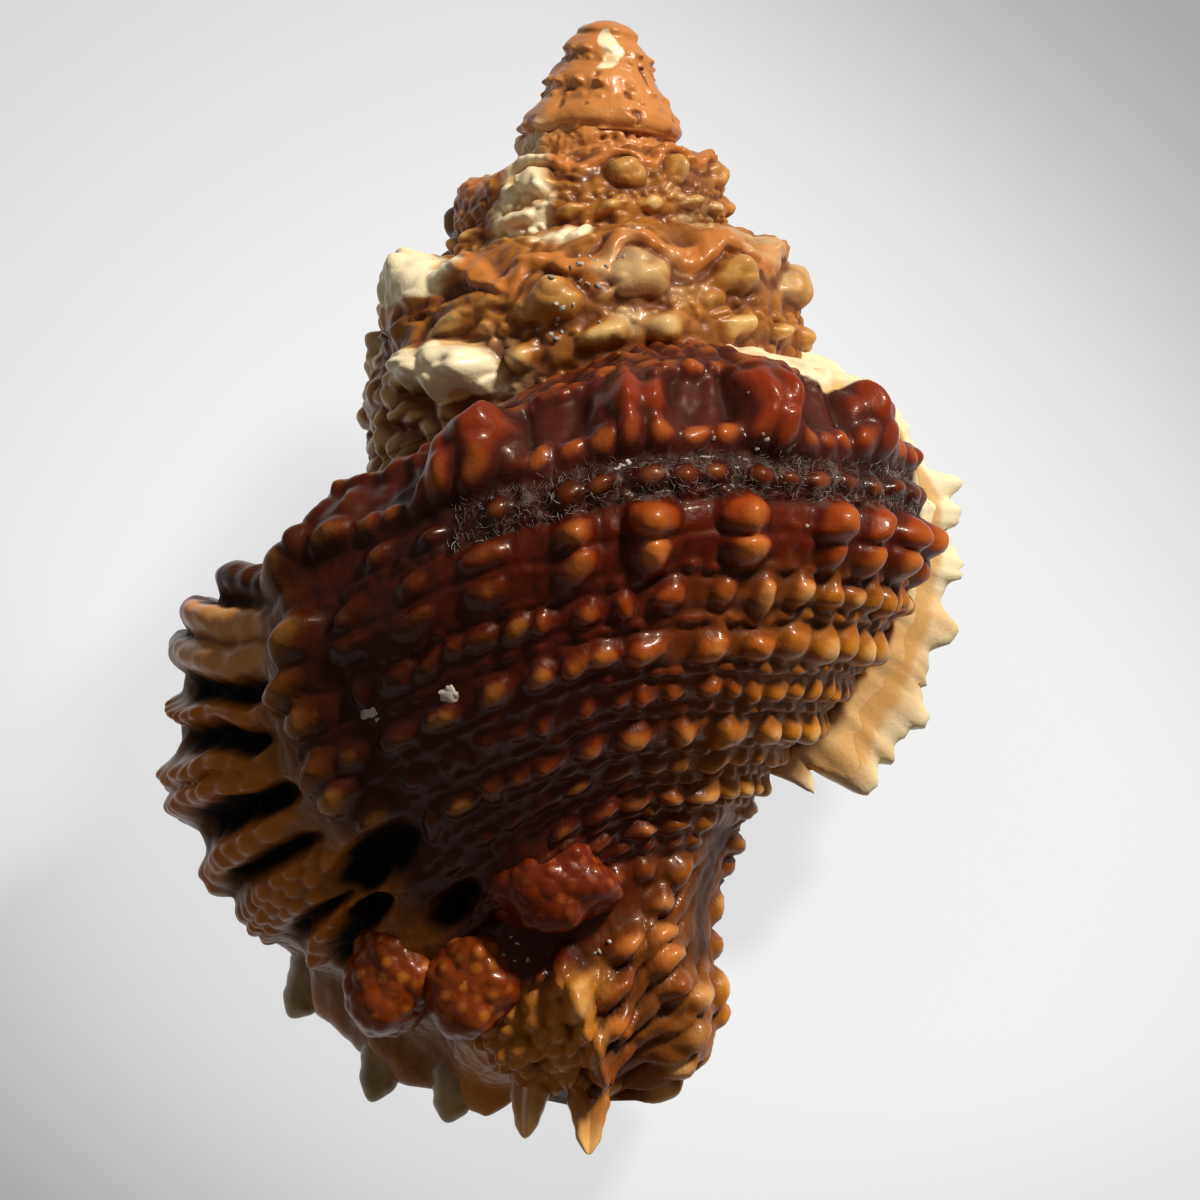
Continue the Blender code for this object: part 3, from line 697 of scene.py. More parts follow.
def outerWall(turns, share):
    # the outside with its sculpture: radius and depth on a grid, and what colours it
    t = turns[:, None]
    radius, depth = section(t, share)
    # places on the smooth whorl, enlarged to the size of the last whorl
    places = wound(radius, tau * t, depth) / sizeAt(np.maximum(t - 0.9, 0.0))[:, :, None]
    bent = bentGrid(t, share, places)
    height, pits, flange, band = broadForms(*bent)
    pits = pits * (1 + 0.45 * lumps(places, 1.3, 51) + 0.25 * lumps(places, 0.6, 52))
    dome, tip, tone = layBeads(turns, share, bent, lastBeads + topBeads)
    dome = dome * (1 - unit(pits / 0.8)) * (1 - unit(flange / 0.8))
    callused = np.where(share > 0.3, 1 - 0.75 * between(t, 0.95, 1.02, 1.02, 1.1), 1.0)
    height = height + (dome + wrinkles(t, share, places)) * callused
    height = height + canalBase["rightSwell"] * bump(t - 0.565, 0.09) * bump(share - 0.955, 0.055)
    if turns[0] < 0.9:
        # the end of the last whorl lies under the spire
        height = height - 0.8 * ease(t, 1.0, 1.03) * fall(share, 0.375, 0.405)
    height = height - wall["sunk"] * (1 + ease(share, 0.72, 0.85))
    height = height - wall["lipPulled"] * roundedEdge(t) * ease(share, 0.02, 0.1)
    # the wall of the last whorl stays thick enough for what is cut from inside
    deepest = wall["deepest"]
    height = np.where(t < 0.9, np.maximum(height, deepest + 0.15 * (height - deepest)), height)
    depth = depth - 1.1 * ease(share, 0.9, 1.0) * fall(t, 0.6, 0.8)
    before = section(t, share - 0.025)
    after = section(t, share + 0.025)
    out = np.array((after[1] - before[1], before[0] - after[0]))
    out = out / np.maximum(np.hypot(*out), 1e-9)
    # the ramp's edge runs a little way into the whorl above
    top = np.array([radiusOfWhorlAbove(*place) for place in zip(turns, depth[:, 0])]) - 0.8 * fall(turns, 0.98, 1.0)
    join = unit(1 - (share - share[0]) / 0.09)
    radius = radius + (top - radius[:, 0])[:, None] * join**2
    # what stands above its surroundings is coloured as raised, and what lies below them as sunk, which is painted
    # darker as painted shade; the pits are painted nearly black as painted shadow
    size = sizeAt(np.maximum(t - 0.3, 0.0))
    step = (turns[-1] - turns[0]) / len(turns) * girth * size.mean()
    across = shareLength(turns.mean()) * (share[1] - share[0])
    wide = wall["surroundings"] * size.mean()
    over = (height - softly(height, wide / step, wide / across)) / (wall["relief"] * size)
    pit = unit(pits / 0.9)
    pale = unit(flange / np.interp(share, (0.1, 0.2), (0.4, 1.2)))
    masks = {"raised": unit(over), "sunk": np.maximum(unit(-over), pit), "pit": pit, "tip": tip, "tone": tone,
             "band": band, "pale": np.maximum(palePatches(*bent), pale)}
    return radius + out[0] * height, depth + out[1] * height, masks


def palePatches(t, s):
    # cream lobes of the varices on the left of the spire and the two cream rolls of the lip
    away = (t - 1.105 - 0.42 * (s - 0.05)) / (0.036 + 0.016 * (s < 0.2))
    lobes = np.maximum(bump(s - 0.112, 0.058), bump(s - 0.313, 0.05))
    roll = s - 0.9 * (t - 0.125)
    rolls = np.maximum(bump(roll - 0.219, 0.02), bump(roll - 0.257, 0.018)) * between(t, 0.1, 0.125, 0.168, 0.185)
    return highest(
        np.exp(-np.abs(away) ** 3) * ease(lobes, 0.2, 0.55),
        bump(s - 0.135, 0.022) * between(t, 1.1, 1.13, 1.19, 1.25),
        0.75 * bump(t - 2.235, 0.04) * fall(s, 0.3, 0.36),
        0.65 * bump(t - 1.3, 0.035) * bump(s - 0.04, 0.035),
        plate(t, s), 0.8 * rolls,
        0.33 * bump(s - 0.385 - 0.5 * (t - 0.125), 0.028) * fall(t, 0.12, 0.15)) * (t < 2.5)


def pick(*pieces):
    # select only these pieces
    for other in bpy.context.selected_objects:
        other.select_set(False)
    for piece in pieces:
        piece.select_set(True)
        bpy.context.view_layer.objects.active = piece


def setMasks(mesh, shape, masks):
    for key, values in masks.items():
        layer = mesh.attributes.new(key, "FLOAT", "POINT")
        layer.data.foreach_set("value", np.broadcast_to(np.asarray(values, np.float32), shape).ravel())


def closedGrid(name, points, masks, slots):
    # a grid whose last column meets its first, closed with a flat face at each end
    rows, columns = points.shape[:2]
    pick()
    bpy.ops.mesh.primitive_grid_add(x_subdivisions=columns - 1, y_subdivisions=rows - 1, size=1.0)
    piece = bpy.context.object
    mesh = piece.data
    piece.name = mesh.name = name
    mesh.vertices.foreach_set("co", points.reshape(-1).astype(np.float32))
    setMasks(mesh, (rows, columns), masks)
    for material in slots:
        mesh.materials.append(material)
    mesh.update()
    bpy.ops.object.mode_set(mode="EDIT")
    bpy.ops.mesh.select_all(action="SELECT")
    bpy.ops.mesh.remove_doubles(threshold=1e-7)
    bpy.ops.mesh.select_mode(type="EDGE")
    bpy.ops.mesh.select_non_manifold(extend=False, use_wire=False, use_multi_face=False, use_non_contiguous=False,
                                     use_verts=False)
    bpy.ops.mesh.edge_face_add()
    bpy.ops.mesh.select_mode(type="VERT")
    bpy.ops.mesh.select_all(action="SELECT")
    bpy.ops.mesh.normals_make_consistent(inside=False)
    bpy.ops.object.mode_set(mode="OBJECT")
    return piece


def whorlPiece(name, turns, share, slots, closing=14):
    # a solid stretch of whorl, from its outside to the axis
    radius, depth, masks = outerWall(turns, share)
    t = turns[:, None]
    back = np.linspace(0.0, 1.0, closing + 1)
    inner = -0.35 * sizeAt(t) + 0.0 * back
    down = depth[:, -1:] + (depth[:, :1] - depth[:, -1:]) * back
    radius = np.concatenate((radius, inner, radius[:, :1]), axis=1)
    depth = np.concatenate((depth, down, depth[:, :1]), axis=1)
    # the added columns take their masks from the first
    columns = np.r_[np.arange(len(share)), np.zeros(closing + 2, int)]
    masks["share"] = share + 0.0 * t
    masks = {key: values[:, columns] for key, values in masks.items()}
    return closedGrid(name, layDown(wound(radius, tau * t, -depth)), {**masks, "turn": t, "known": 1.0}, slots)


hollow = {
    "turns": (-0.12, 0.8), "lipWall": 2.1, "innerWall": 1.25, "callus": 0.7, "roof": 1.7, "clear": 1.7,
    "canalFloor": ((0.0, 60.0), (0.04, 60.0), (0.12, 51.0), (0.22, 45.0), (0.4, 40.0), (0.8, 31.0)),
    "pillar": ((34.0, 3.6), (42.0, 3.3), (50.0, 2.7), (54.0, 2.2), (55.0, 1.7)),
    # share of the aperture's height where each tooth of the lip stands
    "teeth": (0.16, 0.25, 0.34, 0.43, 0.52, 0.61, 0.7, 0.79),
    "toothHeight": 0.75, "toothWidth": 0.85, "toothTurns": 0.02,
    # and each fold of the other side
    "folds": (0.12, 0.18, 0.3, 0.4, 0.48, 0.56, 0.64, 0.72, 0.8), "foldHeight": 0.38, "foldWidth": 0.75,
}
# the share at which the last whorl is drawn from
firstShare = 0.042


def hollowCutter(slots):
    h = hollow
    first, final = h["turns"]
    levels = np.linspace(0.0, 1.0, 110)
    turns = np.r_[np.arange(first, -0.02, 1 / 120), np.arange(-0.02, 0.08, 1 / 420), np.arange(0.08, final, 1 / 150)]
    radii = []
    depths = []
    for turn in turns:
        share = np.linspace(0.0, 1.0, 300)
        radius, depth = section(max(turn, 0.0), share)
        radius = radius * sizeAt(min(turn, 0.0))
        thick = h["innerWall"] + (h["lipWall"] - h["innerWall"]) * fall(turn, 0.03, 0.22)
        down = np.linspace(depth[0] - 2.0, np.interp(turn, *zip(*h["canalFloor"])), 260)
        reach = np.linspace(-thick, thick, 41)
        outer = np.interp(down[:, None] + reach, depth, radius, left=0.0, right=radius[-1])
        outer = (outer - np.sqrt(np.maximum(thick**2 - reach**2, 0.0))).min(axis=1)
        # outside the aperture the cutter stays clear of the beads of the whorl above
        inner = radiusOfWhorlAbove(turn, down) + h["callus"] + h["clear"] * fall(turn, -0.035, -0.012)
        inner = np.maximum(inner, np.interp(down, *zip(*h["pillar"])) + 0.15)
        # the hollow stays a wall's thickness below the edge of the ramp that is drawn
        openAt = np.flatnonzero(outer - inner > 0.35)
        top = np.searchsorted(down, max(down[openAt[0]], np.interp(firstShare, share, depth) + h["roof"]))
        fill = down[top] + (down[openAt[-1]] - down[top]) * levels
        left = np.interp(fill, down, inner)
        right = np.interp(fill, down, outer) + 0.85 * roundedEdge(turn) * (turn > -0.05)
        span = fill[-1] - fill[0]
        near = math.exp(-abs((turn - 0.012) / h["toothTurns"]) ** 2.5) if turn > -0.05 else 0.0
        for level in h["teeth"]:
            right = right - h["toothHeight"] * near * bump((levels - level) * span, h["toothWidth"])
        fold = math.exp(-abs((turn - 0.02) / 0.045) ** 3) if turn > -0.1 else 0.0
        for level in h["folds"]:
            left = left + h["foldHeight"] * fold * bump((levels - level) * span, h["foldWidth"])
        right = np.maximum(right, left + 0.35)
        radii.append(np.r_[right, left[::-1], right[:1]])
        depths.append(np.r_[fill, fill[::-1], fill[:1]])
    points = layDown(wound(np.array(radii), tau * turns[:, None], -np.array(depths)))
    cutter = closedGrid("hollow", points, {"turn": turns[:, None], "share": 2.0, "known": 1.0}, slots)
    cutter.data.polygons.foreach_set("material_index", np.ones(len(cutter.data.polygons), np.int32))
    return cutter


def pointsOf(piece, kind="co"):
    places = np.zeros(len(piece.data.vertices) * 3, np.float32)
    piece.data.vertices.foreach_get(kind, places)
    return places.reshape(-1, 3).astype(float)


def maskOf(piece, name):
    values = np.zeros(len(piece.data.vertices), np.float32)
    piece.data.attributes[name].data.foreach_get("value", values)
    return values


def fillNewPoints(piece):
    # points that the cut made take their masks from the nearest point of the grid
    known = maskOf(piece, "known")
    places = pointsOf(piece)
    fresh = np.flatnonzero(known < 0.5)
    sure = np.flatnonzero(known > 0.5)
    low = places[fresh].min(axis=0) - 0.001
    high = places[fresh].max(axis=0) + 0.001
    sure = sure[((places[sure] > low) & (places[sure] < high)).all(axis=1)]
    tree = kdtree.KDTree(len(sure))
    for i, index in enumerate(sure):
        tree.insert(places[index], i)
    tree.balance()
    source = np.array([sure[tree.find(places[index])[1]] for index in fresh])
    for layer in piece.data.attributes:
        if layer.domain == "POINT" and layer.data_type == "FLOAT" and not layer.name.startswith("."):
            values = maskOf(piece, layer.name)
            values[fresh] = values[source]
            layer.data.foreach_set("value", values)


creaseAngle = math.radians(78)


def finishPiece(piece, cutter=None):
    pick(piece)
    if cutter:
        modifier = piece.modifiers.new("hollow", "BOOLEAN")
        modifier.operation = "DIFFERENCE"
        modifier.solver = "MANIFOLD"
        modifier.object = cutter
        bpy.ops.object.modifier_apply(modifier=modifier.name)
        fillNewPoints(piece)
    bpy.ops.object.shade_smooth_by_angle(angle=creaseAngle)
    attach(piece, "root")
    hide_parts("shell")
    print(piece.name, sum(len(face.vertices) - 2 for face in piece.data.polygons), "triangles")


print("materials")

# as seen on a screen, from 0 to 255
colours = {
    # the darker ground, bead and tip colours for the side beside the lip are painted shade, and the amber ones are
    # partly the shell's own colour and partly a painted glow of light
    "ground": (86, 20, 3), "groundLeftPaintedShade": (54, 13, 3), "groundAmber": (158, 90, 22),
    "bead": (152, 60, 12), "beadLeftPaintedShade": (66, 27, 5), "beadAmber": (196, 122, 32),
    # the tip colours make bead tips paler: partly the beads' own paler tips, partly a painted highlight
    "tip": (206, 116, 44), "tipLeftPaintedShade": (138, 88, 30), "tipAmber": (244, 196, 124),
    "knob": (118, 46, 6), "knobTip": (200, 120, 36), "redKnob": (104, 32, 6), "redKnobTip": (164, 78, 28),
    # the pit colour is a painted shadow in the deep hollows, and the crevice colour is painted shade in the lower
    # places
    "pit": (3, 2, 1), "dusk": (26, 10, 8), "creviceShade": (34, 9, 3), "ramp": (74, 28, 20), "rampBead": (132, 44, 16),
    "hair": (112, 94, 82), "cream": (250, 232, 186), "creamShade": (220, 174, 112), "flangeInner": (206, 146, 76),
    "roll": (194, 112, 26), "rollTip": (224, 152, 58), "rollPale": (184, 110, 28),
    "fasciole": (130, 58, 16), "strip": (42, 24, 14), "honeyEdge": (190, 118, 38), "honeyTip": (236, 184, 108),
    "tan": (204, 146, 72), "honey": (176, 110, 42), "brown": (134, 74, 24), "spireTip": (230, 186, 116),
    # the deep spire colour is painted shade for the spire's hollows and the line under its crest
    "spireCrest": (196, 114, 46), "spireShade": (104, 48, 16), "mottle": (232, 202, 146),
    "apex": (208, 132, 66), "chalk": (238, 208, 158), "olive": (100, 72, 36),
    "inside": (236, 214, 180), "insideDeep": (196, 140, 92),
    "tooth": (164, 132, 72), "toothShade": (128, 96, 40), "toothRoot": (96, 46, 14),
    "honeyTooth": (176, 106, 32), "honeyToothEnd": (228, 172, 94),
    "greyHair": (124, 112, 104), "greyHairDark": (74, 60, 54), "crumb": (190, 178, 162), "crumbDark": (136, 122, 108),
}


def paint(colour):
    # a name above, or three numbers from 0 to 255, as the light that a shader works in
    if isinstance(colour, Wire):
        return colour
    parts = np.array(colours.get(colour, colour)) / 255
    return (*np.where(parts <= 0.04045, parts / 12.92, ((parts + 0.055) / 1.055) ** 2.4).tolist(), 1.0)


class Wire:
    # one socket, which arithmetic adds Math nodes to
    def __init__(self, recipe, socket):
        self.recipe = recipe
        self.socket = socket

    def maths(self, operation, *others):
        return self.recipe.node("ShaderNodeMath", {"operation": operation}, self, *others)

    __add__ = __radd__ = partialmethod(maths, "ADD")
    __sub__ = partialmethod(maths, "SUBTRACT")
    __mul__ = __rmul__ = partialmethod(maths, "MULTIPLY")

    def __rsub__(self, other):
        return self.recipe.node("ShaderNodeMath", {"operation": "SUBTRACT"}, other, self)

    def within(self, low, high):
        # 0 below low and 1 above high, eased between
        return self.recipe.node("ShaderNodeMapRange", {"interpolation_type": "SMOOTHSTEP"}, self, low, high, 0.0, 1.0)

    def beyond(self, low, high):
        return 1 - self.within(low, high)

    def between(self, low, high, leaves, gone):
        return self.within(low, high) * self.beyond(leaves, gone)


class Recipe:
    # the nodes of one material
    def __init__(self, name):
        self.material = bpy.data.materials.new(name)
        self.material.use_nodes = True
        self.tree = self.material.node_tree
        self.shader = self.tree.nodes["Principled BSDF"]

    def put(self, socket, value):
        if isinstance(value, Wire):
            self.tree.links.new(value.socket, socket)
        else:
            socket.default_value = value

    def node(self, kind, settings=None, *values, output=0, **named):
        made = self.tree.nodes.new(kind)
        for key, value in (settings or {}).items():
            setattr(made, key, value)
        for socket, value in zip(made.inputs, values):
            self.put(socket, value)
        for key, value in named.items():
            self.put(next(socket for socket in made.inputs if key in (socket.identifier, socket.name)), value)
        return Wire(self, made.outputs[output])

    def masks(self, names):
        return [self.node("ShaderNodeAttribute", {"attribute_name": name}, output=2) for name in names.split()]

    def place(self):
        return self.node("ShaderNodeTexCoord", output=3)

    def noise(self, scale, detail, roughness):
        return self.node("ShaderNodeTexNoise", Vector=self.place(), Scale=scale, Detail=detail, Roughness=roughness)

    def streaks(self, alongScale, acrossScale):
        turn, share = self.masks("turn share")
        place = self.node("ShaderNodeCombineXYZ", None, turn * alongScale, share * acrossScale, 0.0)
        return self.node("ShaderNodeTexNoise", Vector=place, Scale=1.0, Detail=3.0, Roughness=0.6, Distortion=0.4)

    def mix(self, factor, first, second):
        named = {"Factor_Float": factor, "A_Color": paint(first), "B_Color": paint(second)}
        return self.node("ShaderNodeMix", {"data_type": "RGBA"}, output=2, **named)

    def over(self, base, *layers):
        # colours laid one over another, each with how much of it shows
        for amount, colour in layers:
            base = self.mix(amount, base, colour)
        return base

    def bumped(self, height, strength=0.5, distance=0.00014):
        return self.node("ShaderNodeBump", Strength=strength, Distance=distance, Height=height)

    def finish(self, **named):
        for key, value in named.items():
            self.put(self.shader.inputs[key.replace("_", " ")], value)
        return self.material


def floorMaterial():
    made = Recipe("paleFloor")
    split = made.node("ShaderNodeSeparateXYZ", None, made.place()).socket.node.outputs
    x = Wire(made, split[0]) - 0.004
    y = Wire(made, split[1]) + 0.002
    # the floor is painted darker away from a diagonal band, towards its rim and towards the near side: a painted
    # falloff of light
    corner = (x * 0.74 + y * 0.6).maths("ABSOLUTE").within(0.016, 0.045)
    outer = (x * x + y * y).maths("SQRT").within(0.022, 0.056)
    near = (y * -1).within(0.014, 0.036)
    edge = (corner * 0.66 + outer * 0.42 + near * 0.27).maths("MINIMUM", 1.0)
    colour = made.mix(edge, look["floorPale"], look["floorDark"])
    rays = made.node("ShaderNodeLightPath").socket.node.outputs
    seen = Wire(made, rays["Is Camera Ray"])
    for kind in ("Is Glossy Ray", "Is Transmission Ray"):
        seen = seen.maths("MAXIMUM", Wire(made, rays[kind]))
    made.finish(Base_Color=made.mix(seen, look["floorBounce"], colour), Roughness=0.9, Specular_IOR_Level=0.2)
    glow = made.node("ShaderNodeEmission", None, colour, 1.0)
    mixed = made.node("ShaderNodeMixShader", None, seen * look["floorGlow"], Wire(made, made.shader.outputs[0]), glow)
    made.put(made.tree.nodes["Material Output"].inputs["Surface"], mixed)
    return made.material


def bodyMaterial():
    made = Recipe("glossyBrownShell")
    raised, sunk, tip, tone, turn, share = made.masks("raised sunk tip tone turn share")
    pale, pit, band = made.masks("pale pit band")
    cloud = made.noise(260.0, 3.0, 0.55)
    fine = made.noise(1500.0, 3.0, 0.6)
    grain = made.noise(4200.0, 2.0, 0.6)
    streak = made.streaks(170.0, 26.0)
    # darker beside the lip and towards the base, red brown in the middle and amber towards the old lip: the darkening
    # is painted shade for the shaded side, and the amber is partly the shell's own colour and partly a painted glow
    # of light on the lit side
    wander = (cloud - 0.5) * 0.1
    lit = (turn + wander).within(0.22, 0.4) * (1 - (share + wander).within(0.45, 0.62) * 0.35)
    amber = (turn + wander).within(0.34, 0.53) * (share + wander * 0.5).within(0.34, 0.42)
    amber = amber * (1 - share.within(0.7, 0.8) * 0.6)
    # the ramp above the shoulder is purple brown with red brown beads
    ramp = (share + wander * 0.4).beyond(0.2, 0.3) * turn.within(0.19, 0.26)
    # orange brown varix and honey brown base
    varix = turn.beyond(0.17, 0.21) * share.within(0.22, 0.28)
    base = share.between(0.8, 0.9, 1.02, 1.05) * turn.between(0.3, 0.36, 0.62, 0.68)
    edge = turn.beyond(0.345, 0.38) * share.between(0.86, 0.9, 1.02, 1.05)
    # the granulated pieces lie beyond the last share
    knobs = share.within(1.05, 1.15)
    red = turn.within(0.25, 0.28)
    knob = made.mix(red, "knob", "redKnob")
    ground = made.over("groundLeftPaintedShade", (lit, "ground"), (amber, "groundAmber"), (ramp * 0.85, "ramp"),
                       (varix * 0.4 + base * 0.15, "honeyEdge"), (knobs, knob), (edge * 0.8, "honeyEdge"))
    bead = made.over("beadLeftPaintedShade", (lit, "bead"), (amber, "beadAmber"), (ramp * 0.8, "rampBead"), (varix * 0.9, "roll"),
                     (base * 0.8, made.mix(turn.within(0.45, 0.58), "fasciole", "beadAmber")), (knobs, knob),
                     (edge * 0.8, "honeyEdge"))
    tips = made.over("tipLeftPaintedShade", (lit, "tip"), (amber, "tipAmber"), (ramp * 0.6, "bead"), (varix, "rollTip"),
                     (knobs, made.mix(red, "knobTip", "redKnobTip")),
                     (base, made.mix(turn.within(0.42, 0.56), "tip", "tipAmber")), (edge, "honeyTip"))
    # bead tips are painted paler, partly their own colour and partly a painted highlight
    shine = (tip * (tone * 0.6 + 0.6) + (fine - 0.5) * 0.3).within(0.55, 1.25)
    # a dark band with grey hairs below the shoulder
    away = (share - hairyShare).maths("ABSOLUTE")
    dusk = away.beyond(0.012, 0.036) * turn.between(0.22, 0.27, 0.56, 0.6)
    hairs = away.beyond(0.018, 0.045) * turn.between(0.26, 0.33, 0.54, 0.6)
    hairs = hairs * streak.within(0.54, 0.64) * raised.beyond(0.3, 0.8)
    # olive where the whorl passes under the spire
    olive = turn.within(0.9, 1.0) * share.beyond(0.36, 0.5)
    # the rolls of the varix are duller than the old flange, and orange brown at their outer ends
    flange = turn.between(0.575, 0.58, 0.598, 0.609) * share.within(0.33, 0.44)
    creamy = made.over("cream", (sunk.within(0.1, 0.9), "creamShade"), (cloud.within(0.46, 0.7) * 0.7, "creamShade"),
                       (flange * 0.8, "flangeInner"),
                       (turn.beyond(0.2, 0.24) * 0.85, made.mix(turn.within(0.115, 0.15), "roll", "rollPale")))
    body = made.over(
        ground, (raised.within(0.0, 0.95) * (fine * 0.4 + 0.75), bead), (shine * 0.9, tips), (band * 0.85, "strip"),
        # lower places are painted dark as painted shade, and the pits nearly black as painted shadow
        (dusk * 0.62, "dusk"), (hairs * 0.75, "hair"), (sunk.within(0.15, 1.0) * 0.75, "creviceShade"),
        (pit.within(0.3, 0.85), "pit"), (olive * 0.8, "olive"),
        ((pale * (0.75 + fine * 0.5)).within(0.18, 0.62), creamy))
    return made.finish(
        Base_Color=body, Roughness=0.25 + cloud * 0.16 + sunk * 0.3 + fine * 0.08 + pit * 0.3 + band * 0.2,
        Normal=made.bumped(fine * 0.45 + streak * 0.4 + grain * 0.35),
        Coat_Weight=(1 - sunk * 0.8) * (1 - pit) * (1 - band) * 0.15, Coat_Roughness=0.1,
        Specular_IOR_Level=0.18, Specular_Tint=(1.0, 0.8, 0.62, 1.0))


def spireMaterial():
    made = Recipe("tanSpire")
    raised, sunk, tip, tone, turn, share, pale, band = made.masks("raised sunk tip tone turn share pale band")
    cloud = made.noise(260.0, 3.0, 0.55)
    patch = made.noise(150.0, 3.0, 0.55)
    fine = made.noise(1400.0, 3.0, 0.6)
    grain = made.noise(4200.0, 2.0, 0.6)
    streak = made.streaks(120.0, 30.0)
    olive = turn.beyond(1.0, 1.055) + turn.between(2.0, 2.02, 2.075, 2.1)
    # the worn apex has chalky patches of its own, and its hollows are painted dark as painted shade
    worn = made.over("apex", (patch.within(0.54, 0.66) * 0.7, "chalk"), (sunk.within(0.25, 1.0) * 0.75, "spireShade"))
    creamy = made.over("cream", (sunk.within(0.1, 0.8), "creamShade"), (cloud.within(0.5, 0.7) * 0.5, "creamShade"))
    body = made.over(
        "brown", (cloud.within(0.36, 0.62), "honey"), (raised.within(0.15, 0.9) * (0.55 + fine * 0.5), "tan"),
        # knob tops are painted paler, partly their own colour and partly a painted highlight
        ((tip * (tone * 0.5 + 0.65)).within(0.45, 1.0) * 0.85, "spireTip"),
        # the cord that hangs over the knobs is orange brown
        (band.within(0.25, 0.75) * (0.55 + cloud * 0.6), "spireCrest"), (patch.within(0.56, 0.68) * 0.5, "mottle"),
        # the line under the crest, the low ground towards the lower suture and the hollows are painted dark as
        # painted shade
        ((band * -1).within(0.2, 0.9) * 0.8, "spireShade"),
        (share.within(0.24, 0.36) * (1 - raised) * 0.5, "spireShade"), (sunk.within(0.08, 0.8) * 0.85, "spireShade"),
        (olive * 0.8, "olive"), (turn.within(2.85, 3.3) * 0.9, worn),
        ((pale * (0.75 + cloud * 0.5)).within(0.22, 0.55), creamy))
    return made.finish(
        Base_Color=body, Roughness=0.3 + cloud * 0.18 + sunk * 0.2,
        Normal=made.bumped(fine * 0.5 + streak * 0.35 + grain * 0.35), Coat_Weight=0.14, Coat_Roughness=0.12,
        Specular_IOR_Level=0.4, Specular_Tint=(1.0, 0.88, 0.74, 1.0))


def insideMaterial():
    made = Recipe("paleInside")
    turn, = made.masks("turn")
    cloud = made.noise(140.0, 3.0, 0.5)
    deeper = (turn.within(0.06, 0.4) * 0.7 + cloud.within(0.5, 0.75) * 0.35).maths("MINIMUM", 1.0)
    normal = made.bumped(made.noise(900.0, 2.0, 0.5), 0.2, 0.0001)
    return made.finish(Base_Color=made.mix(deeper, "inside", "insideDeep"), Roughness=0.22 + cloud * 0.1,
                       Normal=normal, Coat_Weight=0.3, Coat_Roughness=0.1)


def toothMaterial():
    made = Recipe("paleTeeth")
    honey, reach = made.masks("honey reach")
    cloud = made.noise(420.0, 3.0, 0.55)
    colour = made.over(
        "tooth", (cloud.within(0.4, 0.65), "toothShade"), (reach.beyond(0.15, 0.75) * 0.85, "toothRoot"),
        (honey, made.mix(reach.within(0.5, 0.95), "honeyTooth", "honeyToothEnd")))
    normal = made.bumped(made.noise(1600.0, 2.0, 0.5), 0.3, 0.0001)
    return made.finish(Base_Color=colour, Roughness=0.3 + cloud * 0.12, Normal=normal,
                       Coat_Weight=0.2, Coat_Roughness=0.15)


def greyMaterial(name, first, second):
    made = Recipe(name)
    cloud = made.noise(900.0, 2.0, 0.5)
    return made.finish(Base_Color=made.mix(cloud.within(0.4, 0.6), first, second), Roughness=0.45 + cloud * 0.1)


pick()
bpy.ops.mesh.primitive_plane_add(size=3.0)
floor = bpy.context.object
floor.name = "floor"
floor.data.materials.append(floorMaterial())

shellSlots = [bodyMaterial(), insideMaterial()]
spireSlots = [spireMaterial()]

print("whorls")

# turns of each stretch, and how many points across it
grids = {
    "lip": (np.r_[np.linspace(-0.01, 0.0, 10)[:-1], np.linspace(0.0, 0.19, 150)], 290),
    "back": (np.linspace(0.19, 0.6, 296), 268), "front": (np.linspace(0.6, 1.22, 372), 190),
}
cutter = hollowCutter(shellSlots)
for name, (turns, columns) in grids.items():
    finishPiece(whorlPiece(name, turns, np.linspace(firstShare, 1.0, columns), shellSlots), cutter)
bpy.data.objects.remove(cutter, do_unlink=True)


def evenTurns(first, last, spacing):
    # steps of equal length along the shell as it narrows
    places = [first]
    while places[-1] < last:
        places.append(places[-1] + spacing / (girth * sizeAt(places[-1])))
    places[-1] = last
    return np.array(places)


finishPiece(whorlPiece("spireLow", evenTurns(1.0, 2.06, 0.13), np.linspace(0.0, 0.4, 130), spireSlots, 4))
finishPiece(whorlPiece("spireTop", evenTurns(2.06, 4.35, 0.11), np.linspace(0.0, 0.4, 120), spireSlots, 4))

print("hairs, crumbs, apex, pillar, teeth and knobs")

fuzz = {
    # half the hairy band's width in share, first and last turn, number of hairs, longest and thickest in millimetres
    "halfBand": 0.03, "turns": (0.27, 0.56), "hairs": 1200, "longest": 0.8, "thickness": 0.02,
    # piece, turn, share, spread in millimetres, number, size in millimetres, flatness
    "crumbs": (
        ("back", 0.266, 0.4425, 0.25, 2, 0.5, 0.22), ("back", 0.224, 0.4225, 0.2, 2, 0.5, 0.22),
        ("back", 0.344, 0.2375, 0.7, 4, 0.22, 0.6), ("back", 0.341, 0.84, 1.6, 8, 0.16, 0.7),
        ("back", 0.265, 0.825, 1.2, 5, 0.16, 0.7), ("back", 0.42, 0.24, 3.2, 10, 0.15, 0.7),
        ("spireLow", 1.325, 0.195, 1.6, 16, 0.2, 0.5), ("spireLow", 1.3, 0.27, 1.0, 7, 0.18, 0.5)),
}


def loosePiece(name, points, faces, material):
    mesh = bpy.data.meshes.new(name)
    mesh.from_pydata(points.tolist(), [], faces)
    mesh.materials.append(material)
    piece = bpy.data.objects.new(name, mesh)
    bpy.context.scene.collection.objects.link(piece)
    finishPiece(piece)


